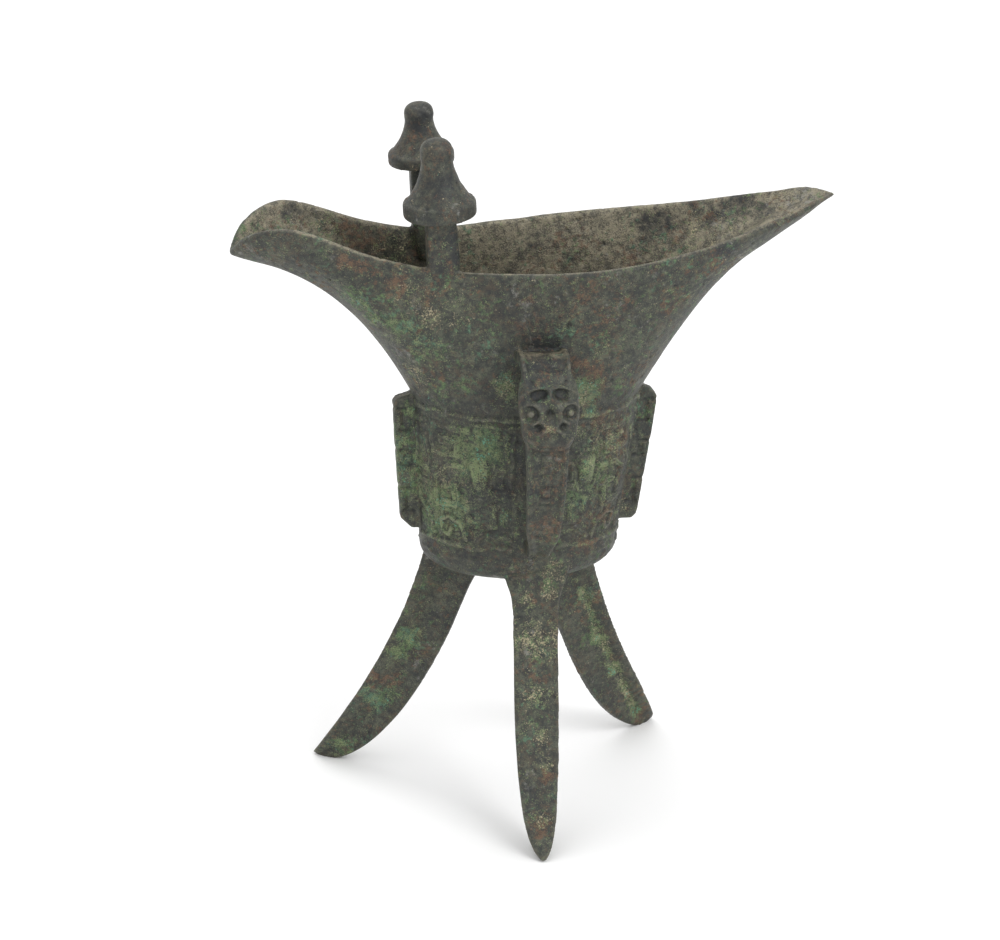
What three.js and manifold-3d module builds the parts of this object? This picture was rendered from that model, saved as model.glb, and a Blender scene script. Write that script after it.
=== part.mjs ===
// A bronze jue: a spouted wine cup on three sabre legs, cast in one piece with its handle,
// flanges and capped posts. Millimetres, +Z up, spout toward -X, tail toward +X, handle toward -Y.
// The cup's upright middle line is the Z axis while it is modelled, and the finished group is
// moved so that the origin lies on the floor, under the middle of its box.
import * as THREE from 'three';
import { mergeVertices } from 'three/addons/utils/BufferGeometryUtils.js';
import Module from 'manifold-3d';

// Cup: heights add up from the floor
const underside = 68.6; // floor to the bowl's lowest point
const bowlRise = 11.4; // bowl's lowest point to the drum's foot
const bowlSquareness = 3.6; // 2 is a plain ellipse, more is squarer
const drumHeight = 41; // the decorated band
const footHalfLength = 28.2;
const footHalfWidth = 20.5;
const neckHalfLength = 32;
const neckHalfWidth = 22.6;
const footLean = -0.3; // the drum's foot stands this far toward the tail
const neckLean = 1; // and its top this far
const wall = 2.3;
const tipWall = 1.1; // at the tail's point
const tipStretch = [0.02, 0.22]; // the wall thickens over this share of the rim
const wallRoom = 0.7; // of the way to the middle plane, the most that a wall takes up

// Mouth: rises are above the drum's top edge
const rimRise = 41.1; // lowest stretch of the rim
const spoutRise = 53.1; // highest stretch of the spout's rim
const tailRise = 54.4; // highest stretch of the tail's rim
const spoutReach = 82;
const tailReach = 87.4;
const mouthHalfWidth = 27.1;
const neckSlope = 61.5; // degrees, where the flare leaves the drum under the spout and the tail
const sideSlope = 88; // the same, at the sides
const flareGrip = 0.72; // share of the flare's length that keeps the neck's slope
const rimGrip = 0.23; // share that keeps the rim's slope
const tipFade = 17; // nearer the middle than this, the wall arrives along the cup

// Rim, from the tail's point along one side to the spout's lip. along is a share of the tail's or
// the spout's reach, half of the mouth's half width, lift of the way from the rim's lowest stretch
// to the tail's or the spout's top. slope is the wall's slope there and neck the direction
// in degrees round the drum from which the wall rises to that place.
const rimStations = [
  { end: 'tail', along: 1, half: 0, lift: 0.965, slope: 21, neck: 0 },
  { end: 'tail', along: 0.94, half: 0.225, lift: 0.985, slope: 50, neck: 18 },
  { end: 'tail', along: 0.82, half: 0.445, lift: 0.75, slope: 55, neck: 24 },
  { end: 'tail', along: 0.52, half: 0.815, lift: 0.355, slope: 74, neck: 44 },
  { end: 'tail', along: 0.2, half: 1, lift: 0.105, slope: 76, neck: 70 },
  { end: 'spout', along: 0.1, half: 0.885, lift: 0.03, slope: 80, neck: 102 },
  { end: 'spout', along: 0.31, half: 0.73, lift: 0.05, slope: 80, neck: 125 },
  { end: 'spout', along: 0.53, half: 0.66, lift: 0.375, slope: 80, neck: 145 },
  { end: 'spout', along: 0.82, half: 0.53, lift: 1, slope: 73, neck: 167 },
  { end: 'spout', along: 0.95, half: 0.27, lift: 0.705, slope: 66, neck: 176 },
  { end: 'spout', along: 1, half: 0, lift: 0.16, slope: 25, neck: 180 },
];

// Legs: reaches are from the middle line to the tip, angles are degrees from the tail, seen from
// above. inset is how far the root's outer face stands inside the drum's oval, and skew how far
// the tip stands to one side of its blade.
const frontLegReach = 53.5;
const spoutLegReach = 60.6;
const tailLegReach = 60.2;
const legs = [
  { rootAngle: 274.3, footAngle: 268.4, reach: frontLegReach, inset: 2, skew: 0.7 },
  { rootAngle: 154, footAngle: 155.5, reach: spoutLegReach, inset: 2.9, skew: 0 },
  { rootAngle: 49, footAngle: 37.4, reach: tailLegReach, inset: 2, skew: 0 },
];
const legWidth = 12.8; // across the flat outer face
const legDepth = 14; // outer face to inner ridge
const legRidge = 2.6; // width of the blunt inner ridge
const legHollow = 0.9; // how far the side faces are dished
const legBluntness = 5; // more keeps the blade wide for longer
const legWear = 0.5; // ground off the ridge where it stands
const legEdge = [0.96, 0.12]; // the outer face's cut edges, as shares of half width and depth
const legLeast = 0.16; // share of the section that is left at the tip
const legSwing = [0.2, 0.54]; // shares of the way out that the blade's curve is drawn toward
const legDrop = [0.64, 0.31]; // and shares of the root's height
const legSteps = 11;

// Flanges at the spout, the tail and the back
const flanges = [
  { turn: 180, topChamfer: 2, footChamfer: 3.2 },
  { turn: 0, topChamfer: 3.2, footChamfer: 1.5 },
  { turn: 90, topChamfer: 3, footChamfer: 2.4 },
];
const flangeThickness = 3.8;
const flangeProud = 5.6;
const flangeFootGap = 1.2; // above the drum's foot
const flangeGrooves = 5;
const flangeGrooveDepth = 0.6;
const flangeGrooveWidth = 1.7;

// Handle
const handleReach = 17.4; // drum to the strap's outer face
const handleTopRise = 18; // above the drum's top
const handleFootRise = 4; // above the drum's foot
const handleTopWidth = 14;
const handleFootWidth = 8.2;
const strapThickness = 4;
const handleLean = 0.6; // the whole handle stands this far toward the tail
const headWidth = 16.8;
const headHeight = 22.6;
const headDepth = 9;

// The loop of the strap, from its root on the flare to its root at the drum's foot: reach is a share
// of the way out to the strap's middle, height of the way up from the lower root to the upper one
const strapLoop = [
  { reach: 0, height: 1 },
  { reach: 0.55, height: 1.03 },
  { reach: 0.92, height: 0.92 },
  { reach: 1, height: 0.7 },
  { reach: 0.98, height: 0.4 },
  { reach: 0.8, height: 0.17 },
  { reach: 0.45, height: 0.03 },
  { reach: 0, height: 0 },
];
const strapSteps = 13;
const strapEdge = 0.6; // share of the half thickness where the back's edges and the face's bed lie
const strapBack = 0.8; // share of the width that is flat at the back
const strapNarrowing = [0.1, 0.95]; // the strap narrows over this share of its loop

// The beast's head, from its chin up, as shares of its width, height and depth. back is how far
// the section's middle stands behind the strap's outer face.
const headLevels = [
  { height: 0, half: 0.18, deep: 0.13, back: 0.2 },
  { height: 0.1, half: 0.38, deep: 0.4, back: 0.2 },
  { height: 0.2, half: 0.43, deep: 0.46, back: 0.24 },
  { height: 0.36, half: 0.46, deep: 0.46, back: 0.29 },
  { height: 0.51, half: 0.49, deep: 0.45, back: 0.36 },
  { height: 0.69, half: 0.5, deep: 0.43, back: 0.44 },
  { height: 0.84, half: 0.45, deep: 0.43, back: 0.6 },
  { height: 0.95, half: 0.37, deep: 0.38, back: 0.78 },
  { height: 1, half: 0.2, deep: 0.22, back: 0.9 },
];
const headSides = 12;

// Nose, muzzle, eyes and nostrils, and the rings of the brows and round the eyes. across is a share
// of the head's width from its middle, height of its height from the chin, sunk of its depth behind
// the strap's face. Radii and tubes are in sixteenths of the head's width, turns in radians.
const headBalls = [
  { across: 0, height: 0.35, sunk: 0, radii: [2.8, 2.2, 1.2] },
  { across: 0, height: 0.2, sunk: 0.02, radii: [5.2, 2, 2.6] },
  { across: 0.32, height: 0.51, sunk: 0.06, radii: [2, 2, 2] },
  { across: 0.2, height: 0.35, sunk: 0.02, radii: [1.3, 1.6, 1.3] },
];
const headRings = [
  { across: 0.21, height: 0.73, sunk: 0.2, turn: 0.25, radius: 2.9, tube: 1.2 },
  { across: 0.32, height: 0.51, sunk: 0.14, turn: 0.5, radius: 3.2, tube: 0.9 },
];
const ballSides = [8, 6];
const ringSides = [4, 10];

// Posts and caps
const postAlong = 0.308; // share of the spout's reach
const postDepth = 6.4;
const postLean = 4; // degrees toward the spout
const postSink = 8; // how far its foot runs down inside the wall
const nearPostHeight = 15.9;
const farPostHeight = 20.5;
const nearCapHeight = 21.7;
const farCapHeight = 17.3;
const posts = [
  { side: -1, width: 8.8, height: nearPostHeight, capRadius: 10, capHeight: nearCapHeight },
  { side: 1, width: 7.4, height: farPostHeight, capRadius: 9.2, capHeight: farCapHeight },
];
// The post's section inside the wall, near the rim, above it and under the cap, as shares of full
const postLevels = [
  { across: 0.5, through: 0.3 },
  { across: 0.85, through: 0.8 },
  { across: 1, through: 1 },
  { across: 0.92, through: 0.92 },
];
const postCut = 0.6; // the post's corners are cut off from this share of its half sides

// The cap's profile from its underside up, as shares of its radius and height
const capProfile = [
  [0, 0],
  [1, 0],
  [1, 0.17],
  [0.93, 0.2],
  [0.77, 0.29],
  [0.61, 0.4],
  [0.49, 0.55],
  [0.41, 0.68],
  [0.44, 0.79],
  [0.42, 0.9],
  [0.26, 0.98],
  [0, 1],
];

// Relief on the drum
const reliefProud = 0.9;
const borderWidth = 1.5;
const barWidth = 2.1;
const eyeRadius = 2.9;
const eyeHeight = 0.85; // share of its width
const eyeSunk = 0.55; // share of its radius that lies inside the relief

// The mask's squared spirals on the quarter from a flange to the handle or the back. turn is in
// degrees from the flange, share a share of the drum's height, wind the way that it turns in.
const spirals = [
  { turn: 62, share: 0.69, width: 30, height: 0.46, wind: -1, bars: 4 },
  { turn: 27, share: 0.72, width: 24, height: 0.34, wind: 1, bars: 3 },
  { turn: 30, share: 0.22, width: 30, height: 0.28, wind: -1, bars: 3 },
];
const jaw = { from: 58, to: 76, share: 0.1 };
const maskEye = { turn: 43, share: 0.45 };

// Smoothness
const rimSteps = 3; // columns between two rim stations
const bowlRows = 3;
const drumRows = 1;
const flareRows = 6;
const capSides = 12;
const eyeSides = [10, 7];
const rimSamples = 400; // tried in search of the place where a post stands
const blockStep = 20; // degrees of turn that one flat stretch of a raised block may span
const bite = 1.1; // how deep one form is set into the next, so that they fuse

const wasm = await Module();
wasm.setup();

const { degToRad, lerp } = THREE.MathUtils;
const drumFoot = underside + bowlRise;
const drumTop = drumFoot + drumHeight;

/** A closed geometry as a solid that can be joined and cut. */
function solidOf(geometry) {
  const bare = geometry.index ? geometry.toNonIndexed() : geometry.clone();
  bare.deleteAttribute('normal');
  bare.deleteAttribute('uv');
  const welded = mergeVertices(bare, 1e-4);
  const corners = welded.index.array;
  const kept = [];
  for (let i = 0; i < corners.length; i += 3) {
    const [a, b, c] = corners.slice(i, i + 3);
    if (a !== b && b !== c && c !== a) kept.push(a, b, c);
  }
  return new wasm.Manifold(
    new wasm.Mesh({
      numProp: 3,
      vertProperties: new Float32Array(welded.attributes.position.array),
      triVerts: new Uint32Array(kept),
    }),
  );
}

/** The closed skin over rings of points. Each ring runs the same way and has as many points. */
function skin(rings, closeEnd = fanLid) {
  const corners = [];
  const count = rings[0].length;
  for (let row = 0; row + 1 < rings.length; row += 1) {
    for (let i = 0; i < count; i += 1) {
      const next = (i + 1) % count;
      const [a, b] = [rings[row][i], rings[row][next]];
      const [c, d] = [rings[row + 1][i], rings[row + 1][next]];
      corners.push(a, b, d, a, d, c);
    }
  }
  corners.push(...fanLid(rings[0]).reverse(), ...closeEnd(rings.at(-1)));
  return facing(new THREE.BufferGeometry().setFromPoints(corners));
}

/** A lid of triangles from a ring to its middle. */
function fanLid(ring) {
  const middle = ring.reduce((sum, p) => sum.add(p), new THREE.Vector3()).divideScalar(ring.length);
  return ring.flatMap((p, i) => [p, ring[(i + 1) % ring.length], middle]);
}

/** A lid that spans straight across from each point to its mirror image on the other side. */
function crossLid(ring) {
  const half = ring.length / 2;
  const corners = [];
  for (let i = 0; i < half; i += 1) {
    const [a, b] = [ring[i], ring[i + 1]];
    const [c, d] = [ring[(ring.length - i) % ring.length], ring[ring.length - i - 1]];
    corners.push(a, b, d, a, d, c);
  }
  return corners;
}

/** The geometry with its faces turned outwards, told from the sign of its volume. */
function facing(geometry) {
  const place = geometry.attributes.position;
  const corner = [0, 1, 2].map(() => new THREE.Vector3());
  let volume = 0;
  for (let i = 0; i < place.count; i += 3) {
    corner.forEach((p, k) => p.fromBufferAttribute(place, i + k));
    volume += corner[0].dot(corner[1].cross(corner[2]));
  }
  if (volume > 0) return geometry;
  const flipped = new Float32Array(place.array);
  for (let i = 0; i < flipped.length; i += 9) {
    flipped.copyWithin(i + 3, i + 6, i + 9);
    flipped.set(place.array.slice(i + 3, i + 6), i + 6);
  }
  return geometry.setAttribute('position', new THREE.BufferAttribute(flipped, 3));
}

const joined = (solids) => solids.reduce((sum, solid) => sum.add(solid));

/** A point on the drum's oval: turn in degrees, height as a share of the drum, standing proud. */
function drumPoint(turn, share, proud = 0) {
  const angle = degToRad(turn);
  const length = lerp(footHalfLength, neckHalfLength, share);
  const width = lerp(footHalfWidth, neckHalfWidth, share);
  const out = new THREE.Vector2(Math.cos(angle) / length, Math.sin(angle) / width).normalize();
  return new THREE.Vector3(
    length * Math.cos(angle) + proud * out.x + lerp(footLean, neckLean, share),
    width * Math.sin(angle) + proud * out.y,
    drumFoot + share * drumHeight,
  );
}

// The rim and, for each place on it, where its wall leaves the neck and how steep it arrives
const rimPoints = rimStations.map(({ end, along, half, lift }) => {
  const tail = end === 'tail';
  const x = tail ? tailReach * along : -spoutReach * along;
  const rise = lerp(rimRise, tail ? tailRise : spoutRise, lift);
  return new THREE.Vector3(x, -mouthHalfWidth * half, drumTop + rise);
});
const wallPoints = rimStations.map(({ neck, slope }) => {
  return new THREE.Vector3(Math.cos(degToRad(neck)), -Math.sin(degToRad(neck)), degToRad(slope));
});
const mirror = (p) => new THREE.Vector3(p.x, -p.y, p.z);
const pastTip = (points) => [...points, mirror(points.at(-2))];
const rimCurve = new THREE.CatmullRomCurve3(pastTip(rimPoints), false, 'centripetal');
const wallCurve = new THREE.CatmullRomCurve3(pastTip(wallPoints), false, 'centripetal');
const stretches = rimStations.length - 1;

/** The rim's place and wall at a share 0 to 1 of one side, or of the mirrored side past 1. */
function rimAt(share) {
  const turned = share > 1 || share < 0;
  const along = share > 1 ? 2 - share : Math.abs(share);
  const t = (along * stretches) / (stretches + 1);
  const place = rimCurve.getPoint(t);
  const way = wallCurve.getPoint(t);
  return turned ? { place: mirror(place), way: mirror(way) } : { place, way };
}

/** A point of the cup's outer face. row is 0 to 1 in the bowl, to 2 in the drum, to 3 in the flare. */
function outerPoint(share, row) {
  const { place, way } = rimAt(share);
  const neck = Math.atan2(way.y, way.x);
  if (row <= 1) {
    const angle = (row * Math.PI) / 2;
    const power = 2 / bowlSquareness;
    const spread = Math.sin(angle) ** power;
    const height = underside + bowlRise * (1 - Math.cos(angle) ** power);
    const [x, y] = [Math.cos(neck) * footHalfLength, Math.sin(neck) * footHalfWidth];
    return new THREE.Vector3(x * spread + footLean, y * spread, height);
  }
  const turn = THREE.MathUtils.radToDeg(neck);
  if (row <= 2) return drumPoint(turn, row - 1);
  const start = drumPoint(turn, 1);
  const length = start.distanceTo(place);
  const tip = Math.cos(neck) ** 2;
  const leave = degToRad(lerp(sideSlope, neckSlope, tip));
  const ahead = drumPoint(turn, 1, 1).sub(start);
  ahead.multiplyScalar(Math.cos(leave)).setZ(Math.sin(leave));
  const step = 1e-3;
  const along = rimAt(share + step).place.sub(rimAt(share - step).place);
  const fade = Math.abs(place.y) / (Math.abs(place.y) + tipFade);
  const out = new THREE.Vector3(along.y, -along.x * fade, 0).normalize();
  if (out.x * place.x + out.y * place.y < 0) out.negate();
  const arrive = out.multiplyScalar(Math.cos(way.z)).setZ(Math.sin(way.z));
  const flare = new THREE.CubicBezierCurve3(
    start,
    start.clone().addScaledVector(ahead, flareGrip * length),
    place.clone().addScaledVector(arrive, -rimGrip * length),
    place,
  );
  return flare.getPoint(row - 2);
}

/** The wall's inner face: the outer one moved in by the wall, thinner where both sides meet. */
function innerPoint(share, row) {
  const step = 2e-3;
  const at = outerPoint(share, row);
  const low = Math.max(row, step);
  const across = outerPoint(share + step, low).sub(outerPoint(share - step, low));
  const top = Math.min(low + step, 3);
  const up = outerPoint(share, top).sub(outerPoint(share, top - 2 * step));
  const normal = up.cross(across).normalize();
  const room = Math.abs(at.y) / Math.max(Math.abs(normal.y), 1e-6);
  const tip = Math.abs(at.y) < 1e-3;
  const away = share > 1 ? 2 - share : share;
  const thick = lerp(tipWall, wall, THREE.MathUtils.smoothstep(away, ...tipStretch));
  return at.addScaledVector(normal, -(tip ? thick : Math.min(thick, wallRoom * room)));
}

/** Shares of the way round the rim, one side and then its mirror image. */
function turnShares() {
  const count = 2 * stretches * rimSteps;
  return Array.from({ length: count }, (_, i) => (2 * i) / count);
}

/** Rows from just above the bottom to the rim. */
function rowShares() {
  const rows = (from, count) => Array.from({ length: count }, (_, i) => from + (i + 1) / count);
  return [...rows(0, bowlRows), ...rows(1, drumRows), ...rows(2, flareRows)];
}

function cupOutside() {
  return skin(
    rowShares().map((row) => turnShares().map((share) => outerPoint(share, row))),
    crossLid,
  );
}

function cupInside() {
  const rings = rowShares().map((row) => turnShares().map((share) => innerPoint(share, row)));
  const aboveAll = drumTop + tailRise + spoutRise;
  rings.push(rings.at(-1).map((p) => p.clone().setZ(aboveAll)));
  return skin(rings);
}

/** One leg: a blade whose flat face looks outward and whose ridge looks in. */
function leg({ rootAngle, footAngle, reach, inset, skew }) {
  const root = drumPoint(rootAngle, 0, -inset).setZ(drumFoot - bowlRise / 2);
  const angle = degToRad(footAngle);
  const tip = new THREE.Vector3(Math.cos(angle) * reach, Math.sin(angle) * reach, 0);
  const way = tip.clone().sub(root).setZ(0);
  const spread = way.length();
  way.normalize();
  const side = new THREE.Vector3(-way.y, way.x, 0);
  const blade = new THREE.CubicBezierCurve(
    new THREE.Vector2(0, root.z),
    new THREE.Vector2(spread * legSwing[0], root.z * legDrop[0]),
    new THREE.Vector2(spread * legSwing[1], root.z * legDrop[1]),
    new THREE.Vector2(spread, 0),
  );
  const sections = Array.from({ length: legSteps + 1 }, (_, i) => {
    const s = Math.sin((i / legSteps) * (Math.PI / 2));
    const fullness = Math.max(Math.sqrt(1 - s ** legBluntness), legLeast);
    const at = blade.getPoint(s);
    const tangent = blade.getTangent(s);
    const [width, depth] = [(legWidth / 2) * fullness, legDepth * fullness];
    const ridge = Math.min(legRidge / 2, width * legEdge[0]);
    const [cut, cutDepth] = [width * legEdge[0], depth * legEdge[1]];
    const middle = (width + ridge) / 2 - legHollow * fullness;
    const outline = [
      [-width, 0],
      [width, 0],
      [cut, cutDepth],
      [middle, depth / 2],
      [ridge, depth],
      [-ridge, depth],
      [-middle, depth / 2],
      [-cut, cutDepth],
    ];
    return outline.map(([across, inward]) => ({
      across: across + skew * (1 - fullness),
      out: at.x + inward * tangent.y,
      height: at.y - inward * tangent.x,
    }));
  });
  const lowest = Math.min(...sections.flat().map((p) => p.height));
  const stretch = (root.z + legWear) / (root.z - lowest);
  const rings = sections.map((section) =>
    section.map(({ across, out, height }) =>
      root
        .clone()
        .addScaledVector(way, out)
        .addScaledVector(side, across)
        .setZ(root.z - (root.z - height) * stretch),
    ),
  );
  return solidOf(skin(rings));
}

/** The floor, to grind each leg's ridge flat where it stands. */
function floor() {
  const size = 2 * (spoutReach + tailReach);
  return solidOf(new THREE.BoxGeometry(size, size, size).translate(0, 0, -size / 2));
}

/** One upright flange: a chamfered plate with grooves across both faces. */
function flange({ turn, topChamfer, footChamfer }) {
  const foot = drumPoint(turn, 0);
  const top = drumPoint(turn, 1);
  const [near, far] = [foot, top].map((p) => Math.hypot(p.x, p.y));
  const low = drumFoot + flangeFootGap;
  const outline = new THREE.Shape([
    new THREE.Vector2(near - bite, low),
    new THREE.Vector2(near + flangeProud - footChamfer, low),
    new THREE.Vector2(near + flangeProud, low + footChamfer),
    new THREE.Vector2(far + flangeProud, drumTop - topChamfer),
    new THREE.Vector2(far + flangeProud - topChamfer / 2, drumTop - topChamfer / 3),
    new THREE.Vector2(far - bite, drumTop + topChamfer / 2),
  ]);
  const half = flangeThickness / 2;
  const plate = new THREE.ExtrudeGeometry(outline, { depth: flangeThickness, bevelEnabled: false });
  plate.rotateX(Math.PI / 2).translate(0, half, 0);
  const pitch = drumHeight / (flangeGrooves + 1);
  const cuts = Array.from({ length: flangeGrooves * 2 }, (_, i) => {
    const side = i % 2 ? 1 : -1;
    const slot = new THREE.BoxGeometry(flangeProud, 2 * flangeGrooveDepth, flangeGrooveWidth);
    const z = drumFoot + pitch * (1 + Math.floor(i / 2));
    return slot.translate(near + flangeProud / 2 + bite, side * half, z);
  });
  const grooved = solidOf(plate).subtract(joined(cuts.map(solidOf)));
  return grooved.rotate([0, 0, turn]);
}

/** The handle's strap, lofted along its loop from the flare down to the drum's foot. */
function strap() {
  const middle = -neckHalfWidth - handleReach + strapThickness / 2;
  const [topRoot, footRoot] = [bite - neckHalfWidth, bite - footHalfWidth];
  const [high, low] = [drumTop + handleTopRise, drumFoot + handleFootRise];
  const loop = new THREE.CatmullRomCurve3(
    strapLoop.map(({ reach, height }) => {
      const root = lerp(footRoot, topRoot, height);
      return new THREE.Vector3(handleLean, lerp(root, middle, reach), lerp(low, high, height));
    }),
  );
  const rings = Array.from({ length: strapSteps + 1 }, (_, i) => {
    const t = i / strapSteps;
    const point = loop.getPoint(t);
    const along = loop.getTangent(t);
    const out = new THREE.Vector3(0, along.z, -along.y);
    const half = lerp(handleTopWidth, handleFootWidth, THREE.MathUtils.smoothstep(t, ...strapNarrowing)) / 2;
    const thick = strapThickness / 2;
    const [bed, back] = [thick * strapEdge, half * strapBack];
    const outline = [
      [-half, -bed],
      [-back, -thick],
      [back, -thick],
      [half, -bed],
      [half, thick],
      [half - borderWidth, bed],
      [borderWidth - half, bed],
      [-half, thick],
    ];
    return outline.map(([across, outward]) =>
      point.clone().addScaledVector(out, outward).add(new THREE.Vector3(across, 0, 0)),
    );
  });
  return solidOf(skin(rings));
}

/** The beast's head on the handle: skull and muzzle, eyes, curled brows, nose and nostrils. */
function head() {
  const front = -neckHalfWidth - handleReach;
  const chin = drumTop + handleTopRise - headHeight + strapThickness / 4;
  const rings = headLevels.map(({ height, half, deep, back }) =>
    Array.from({ length: headSides }, (_, i) => {
      const angle = (i / headSides) * 2 * Math.PI;
      const x = Math.cos(angle) * half * headWidth;
      const y = Math.sin(angle) * deep * headDepth + back * headDepth;
      return new THREE.Vector3(handleLean + x, front + y, chin + height * headHeight);
    }),
  );
  const unit = headWidth / 16;
  const placed = (form, side, { across, height, sunk }) =>
    form.translate(
      handleLean + side * across * headWidth,
      front + sunk * headDepth,
      chin + height * headHeight,
    );
  const sides = ({ across }) => (across > 0 ? [-1, 1] : [1]);
  const balls = headBalls.flatMap((b) =>
    sides(b).map((side) => {
      return placed(new THREE.SphereGeometry(unit, ...ballSides).scale(...b.radii), side, b);
    }),
  );
  const hoops = headRings.flatMap((r) =>
    sides(r).map((side) => {
      const hoop = new THREE.TorusGeometry(r.radius * unit, r.tube * unit, ...ringSides);
      return placed(hoop.rotateX(Math.PI / 2).rotateZ(side * r.turn), side, r);
    }),
  );
  return joined([skin(rings), ...balls, ...hoops].map(solidOf));
}

/** One post on the rim with its bell-shaped cap. */
function post({ side, width, height, capRadius, capHeight }) {
  const x = -spoutReach * postAlong;
  const near = nearestOnRim(x);
  const base = new THREE.Vector3(x, side * (near.half - postDepth / 2), near.height);
  const levels = [
    { z: -postSink, ...postLevels[0] },
    { z: -postSink / 4, ...postLevels[1] },
    { z: bite, ...postLevels[2] },
    { z: height + bite, ...postLevels[3] },
  ];
  const rings = levels.map(({ z, across, through }) => {
    const [a, b] = [(width / 2) * across, (postDepth / 2) * through];
    const [c, d] = [a * postCut, b * postCut];
    const corners = [
      [-a, -d],
      [-c, -b],
      [c, -b],
      [a, -d],
      [a, d],
      [c, b],
      [-c, b],
      [-a, d],
    ];
    return corners.map(([p, q]) => new THREE.Vector3(p, q, z));
  });
  const profile = capProfile.map(
    ([r, z]) => new THREE.Vector2(r * capRadius, height + z * capHeight),
  );
  const cap = new THREE.LatheGeometry(profile, capSides).rotateX(Math.PI / 2);
  const whole = solidOf(skin(rings)).add(solidOf(facing(cap.toNonIndexed())));
  return whole.rotate([0, -postLean, 0]).translate(base.toArray());
}

/** Half width and height of the rim where it crosses a place along the cup. */
function nearestOnRim(x) {
  const samples = Array.from({ length: rimSamples }, (_, i) => rimAt(i / rimSamples).place);
  const place = samples.reduce((best, p) => (Math.abs(p.x - x) < Math.abs(best.x - x) ? p : best));
  return { half: Math.abs(place.y), height: place.z };
}

/** A raised block bent round the drum, between two turns and two shares of its height. */
function block(turnFrom, turnTo, shareFrom, shareTo, proud = reliefProud) {
  const steps = Math.max(1, Math.ceil(Math.abs(turnTo - turnFrom) / blockStep));
  const rings = Array.from({ length: steps + 1 }, (_, i) => {
    const turn = lerp(turnFrom, turnTo, i / steps);
    return [
      drumPoint(turn, shareFrom, -bite),
      drumPoint(turn, shareFrom, proud),
      drumPoint(turn, shareTo, proud),
      drumPoint(turn, shareTo, -bite),
    ];
  });
  return solidOf(skin(rings));
}

/** A squared spiral of bars that winds in from the outside, as a list of raised blocks. */
function squareSpiral({ turn, share, width, height, flip = 1, bars = 5 }) {
  const perMillimetre = 180 / (Math.PI * ((neckHalfLength + neckHalfWidth) / 2));
  const [barTurn, barShare] = [barWidth * perMillimetre, barWidth / drumHeight];
  const blocks = [];
  let [left, right] = [-width / 2, width / 2];
  let [low, high] = [-height / 2, height / 2];
  const add = (a, b, c, d) => {
    blocks.push(block(turn + flip * a, turn + flip * b, share + c, share + d));
  };
  for (let bar = 0; bar < bars; bar += 1) {
    const way = bar % 4;
    if (way === 0) add(left, right, high - barShare, high);
    if (way === 1) add(right - barTurn, right, low, high);
    if (way === 2) add(left, right, low, low + barShare);
    if (way === 3) add(left, left + barTurn, low, high - 2 * barShare);
    if (way === 2) right -= 2 * barTurn;
    if (way === 3) high -= 2 * barShare;
  }
  return blocks;
}

/** A raised rounded eye on the drum. */
function eye({ turn, share }) {
  const ball = new THREE.SphereGeometry(eyeRadius, ...eyeSides).scale(1, 1, eyeHeight);
  const place = drumPoint(turn, share, reliefProud - eyeRadius * eyeSunk);
  return solidOf(ball.translate(...place.toArray()));
}

/** The drum's carving: two border lines and, between flanges, one side of a mask's face. */
function relief() {
  const border = borderWidth / drumHeight;
  const forms = [
    block(0, 180, 1 - border, 1),
    block(180, 360, 1 - border, 1),
    block(0, 180, 0, border),
    block(180, 360, 0, border),
  ];
  for (let quarter = 0; quarter < 4; quarter += 1) {
    const flip = quarter % 2 ? -1 : 1;
    const start = (quarter + (quarter % 2)) * 90;
    const at = (turn) => start + flip * turn;
    forms.push(
      ...spirals.flatMap((s) => squareSpiral({ ...s, turn: at(s.turn), flip: flip * s.wind })),
      block(at(jaw.from), at(jaw.to), jaw.share, jaw.share + barWidth / drumHeight),
      eye({ turn: at(maskEye.turn), share: maskEye.share }),
    );
  }
  return joined(forms);
}

function jue() {
  const outside = [
    solidOf(cupOutside()),
    ...legs.map(leg),
    ...flanges.map(flange),
    strap(),
    head(),
    relief(),
  ];
  const hollow = joined(outside).subtract(solidOf(cupInside()));
  const whole = joined([hollow, ...posts.map(post)]);
  const { vertProperties, triVerts } = whole.subtract(floor()).getMesh();
  const geometry = new THREE.BufferGeometry();
  geometry.setAttribute('position', new THREE.BufferAttribute(vertProperties, 3));
  geometry.setIndex(new THREE.BufferAttribute(triVerts, 1));
  geometry.computeVertexNormals();
  return geometry;
}

const bronze = new THREE.MeshStandardMaterial({ color: 0x3d4536, roughness: 0.62, metalness: 0.55 });
const cup = new THREE.Mesh(jue(), bronze);
cup.name = 'bronze_jue';

const group = new THREE.Group();
group.add(cup);
const box = new THREE.Box3().setFromObject(cup);
const middle = box.getCenter(new THREE.Vector3());
cup.position.set(-middle.x, -middle.y, -box.min.z);

export default group;
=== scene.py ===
"""Looks of an archaic bronze jue: one casting with its carving, wear and corrosion.

Every form is a surface over two parameters, worked out in millimetres with the cup's upright
middle line as the Z axis, the spout toward -X and the handle toward -Y. The forms are fused into
one skin, carved and corroded by fields of position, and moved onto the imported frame.
"""

import logging
import math
from dataclasses import dataclass, field
from enum import Enum

import bpy
import numpy as np
from mathutils import Matrix, Vector


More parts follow.
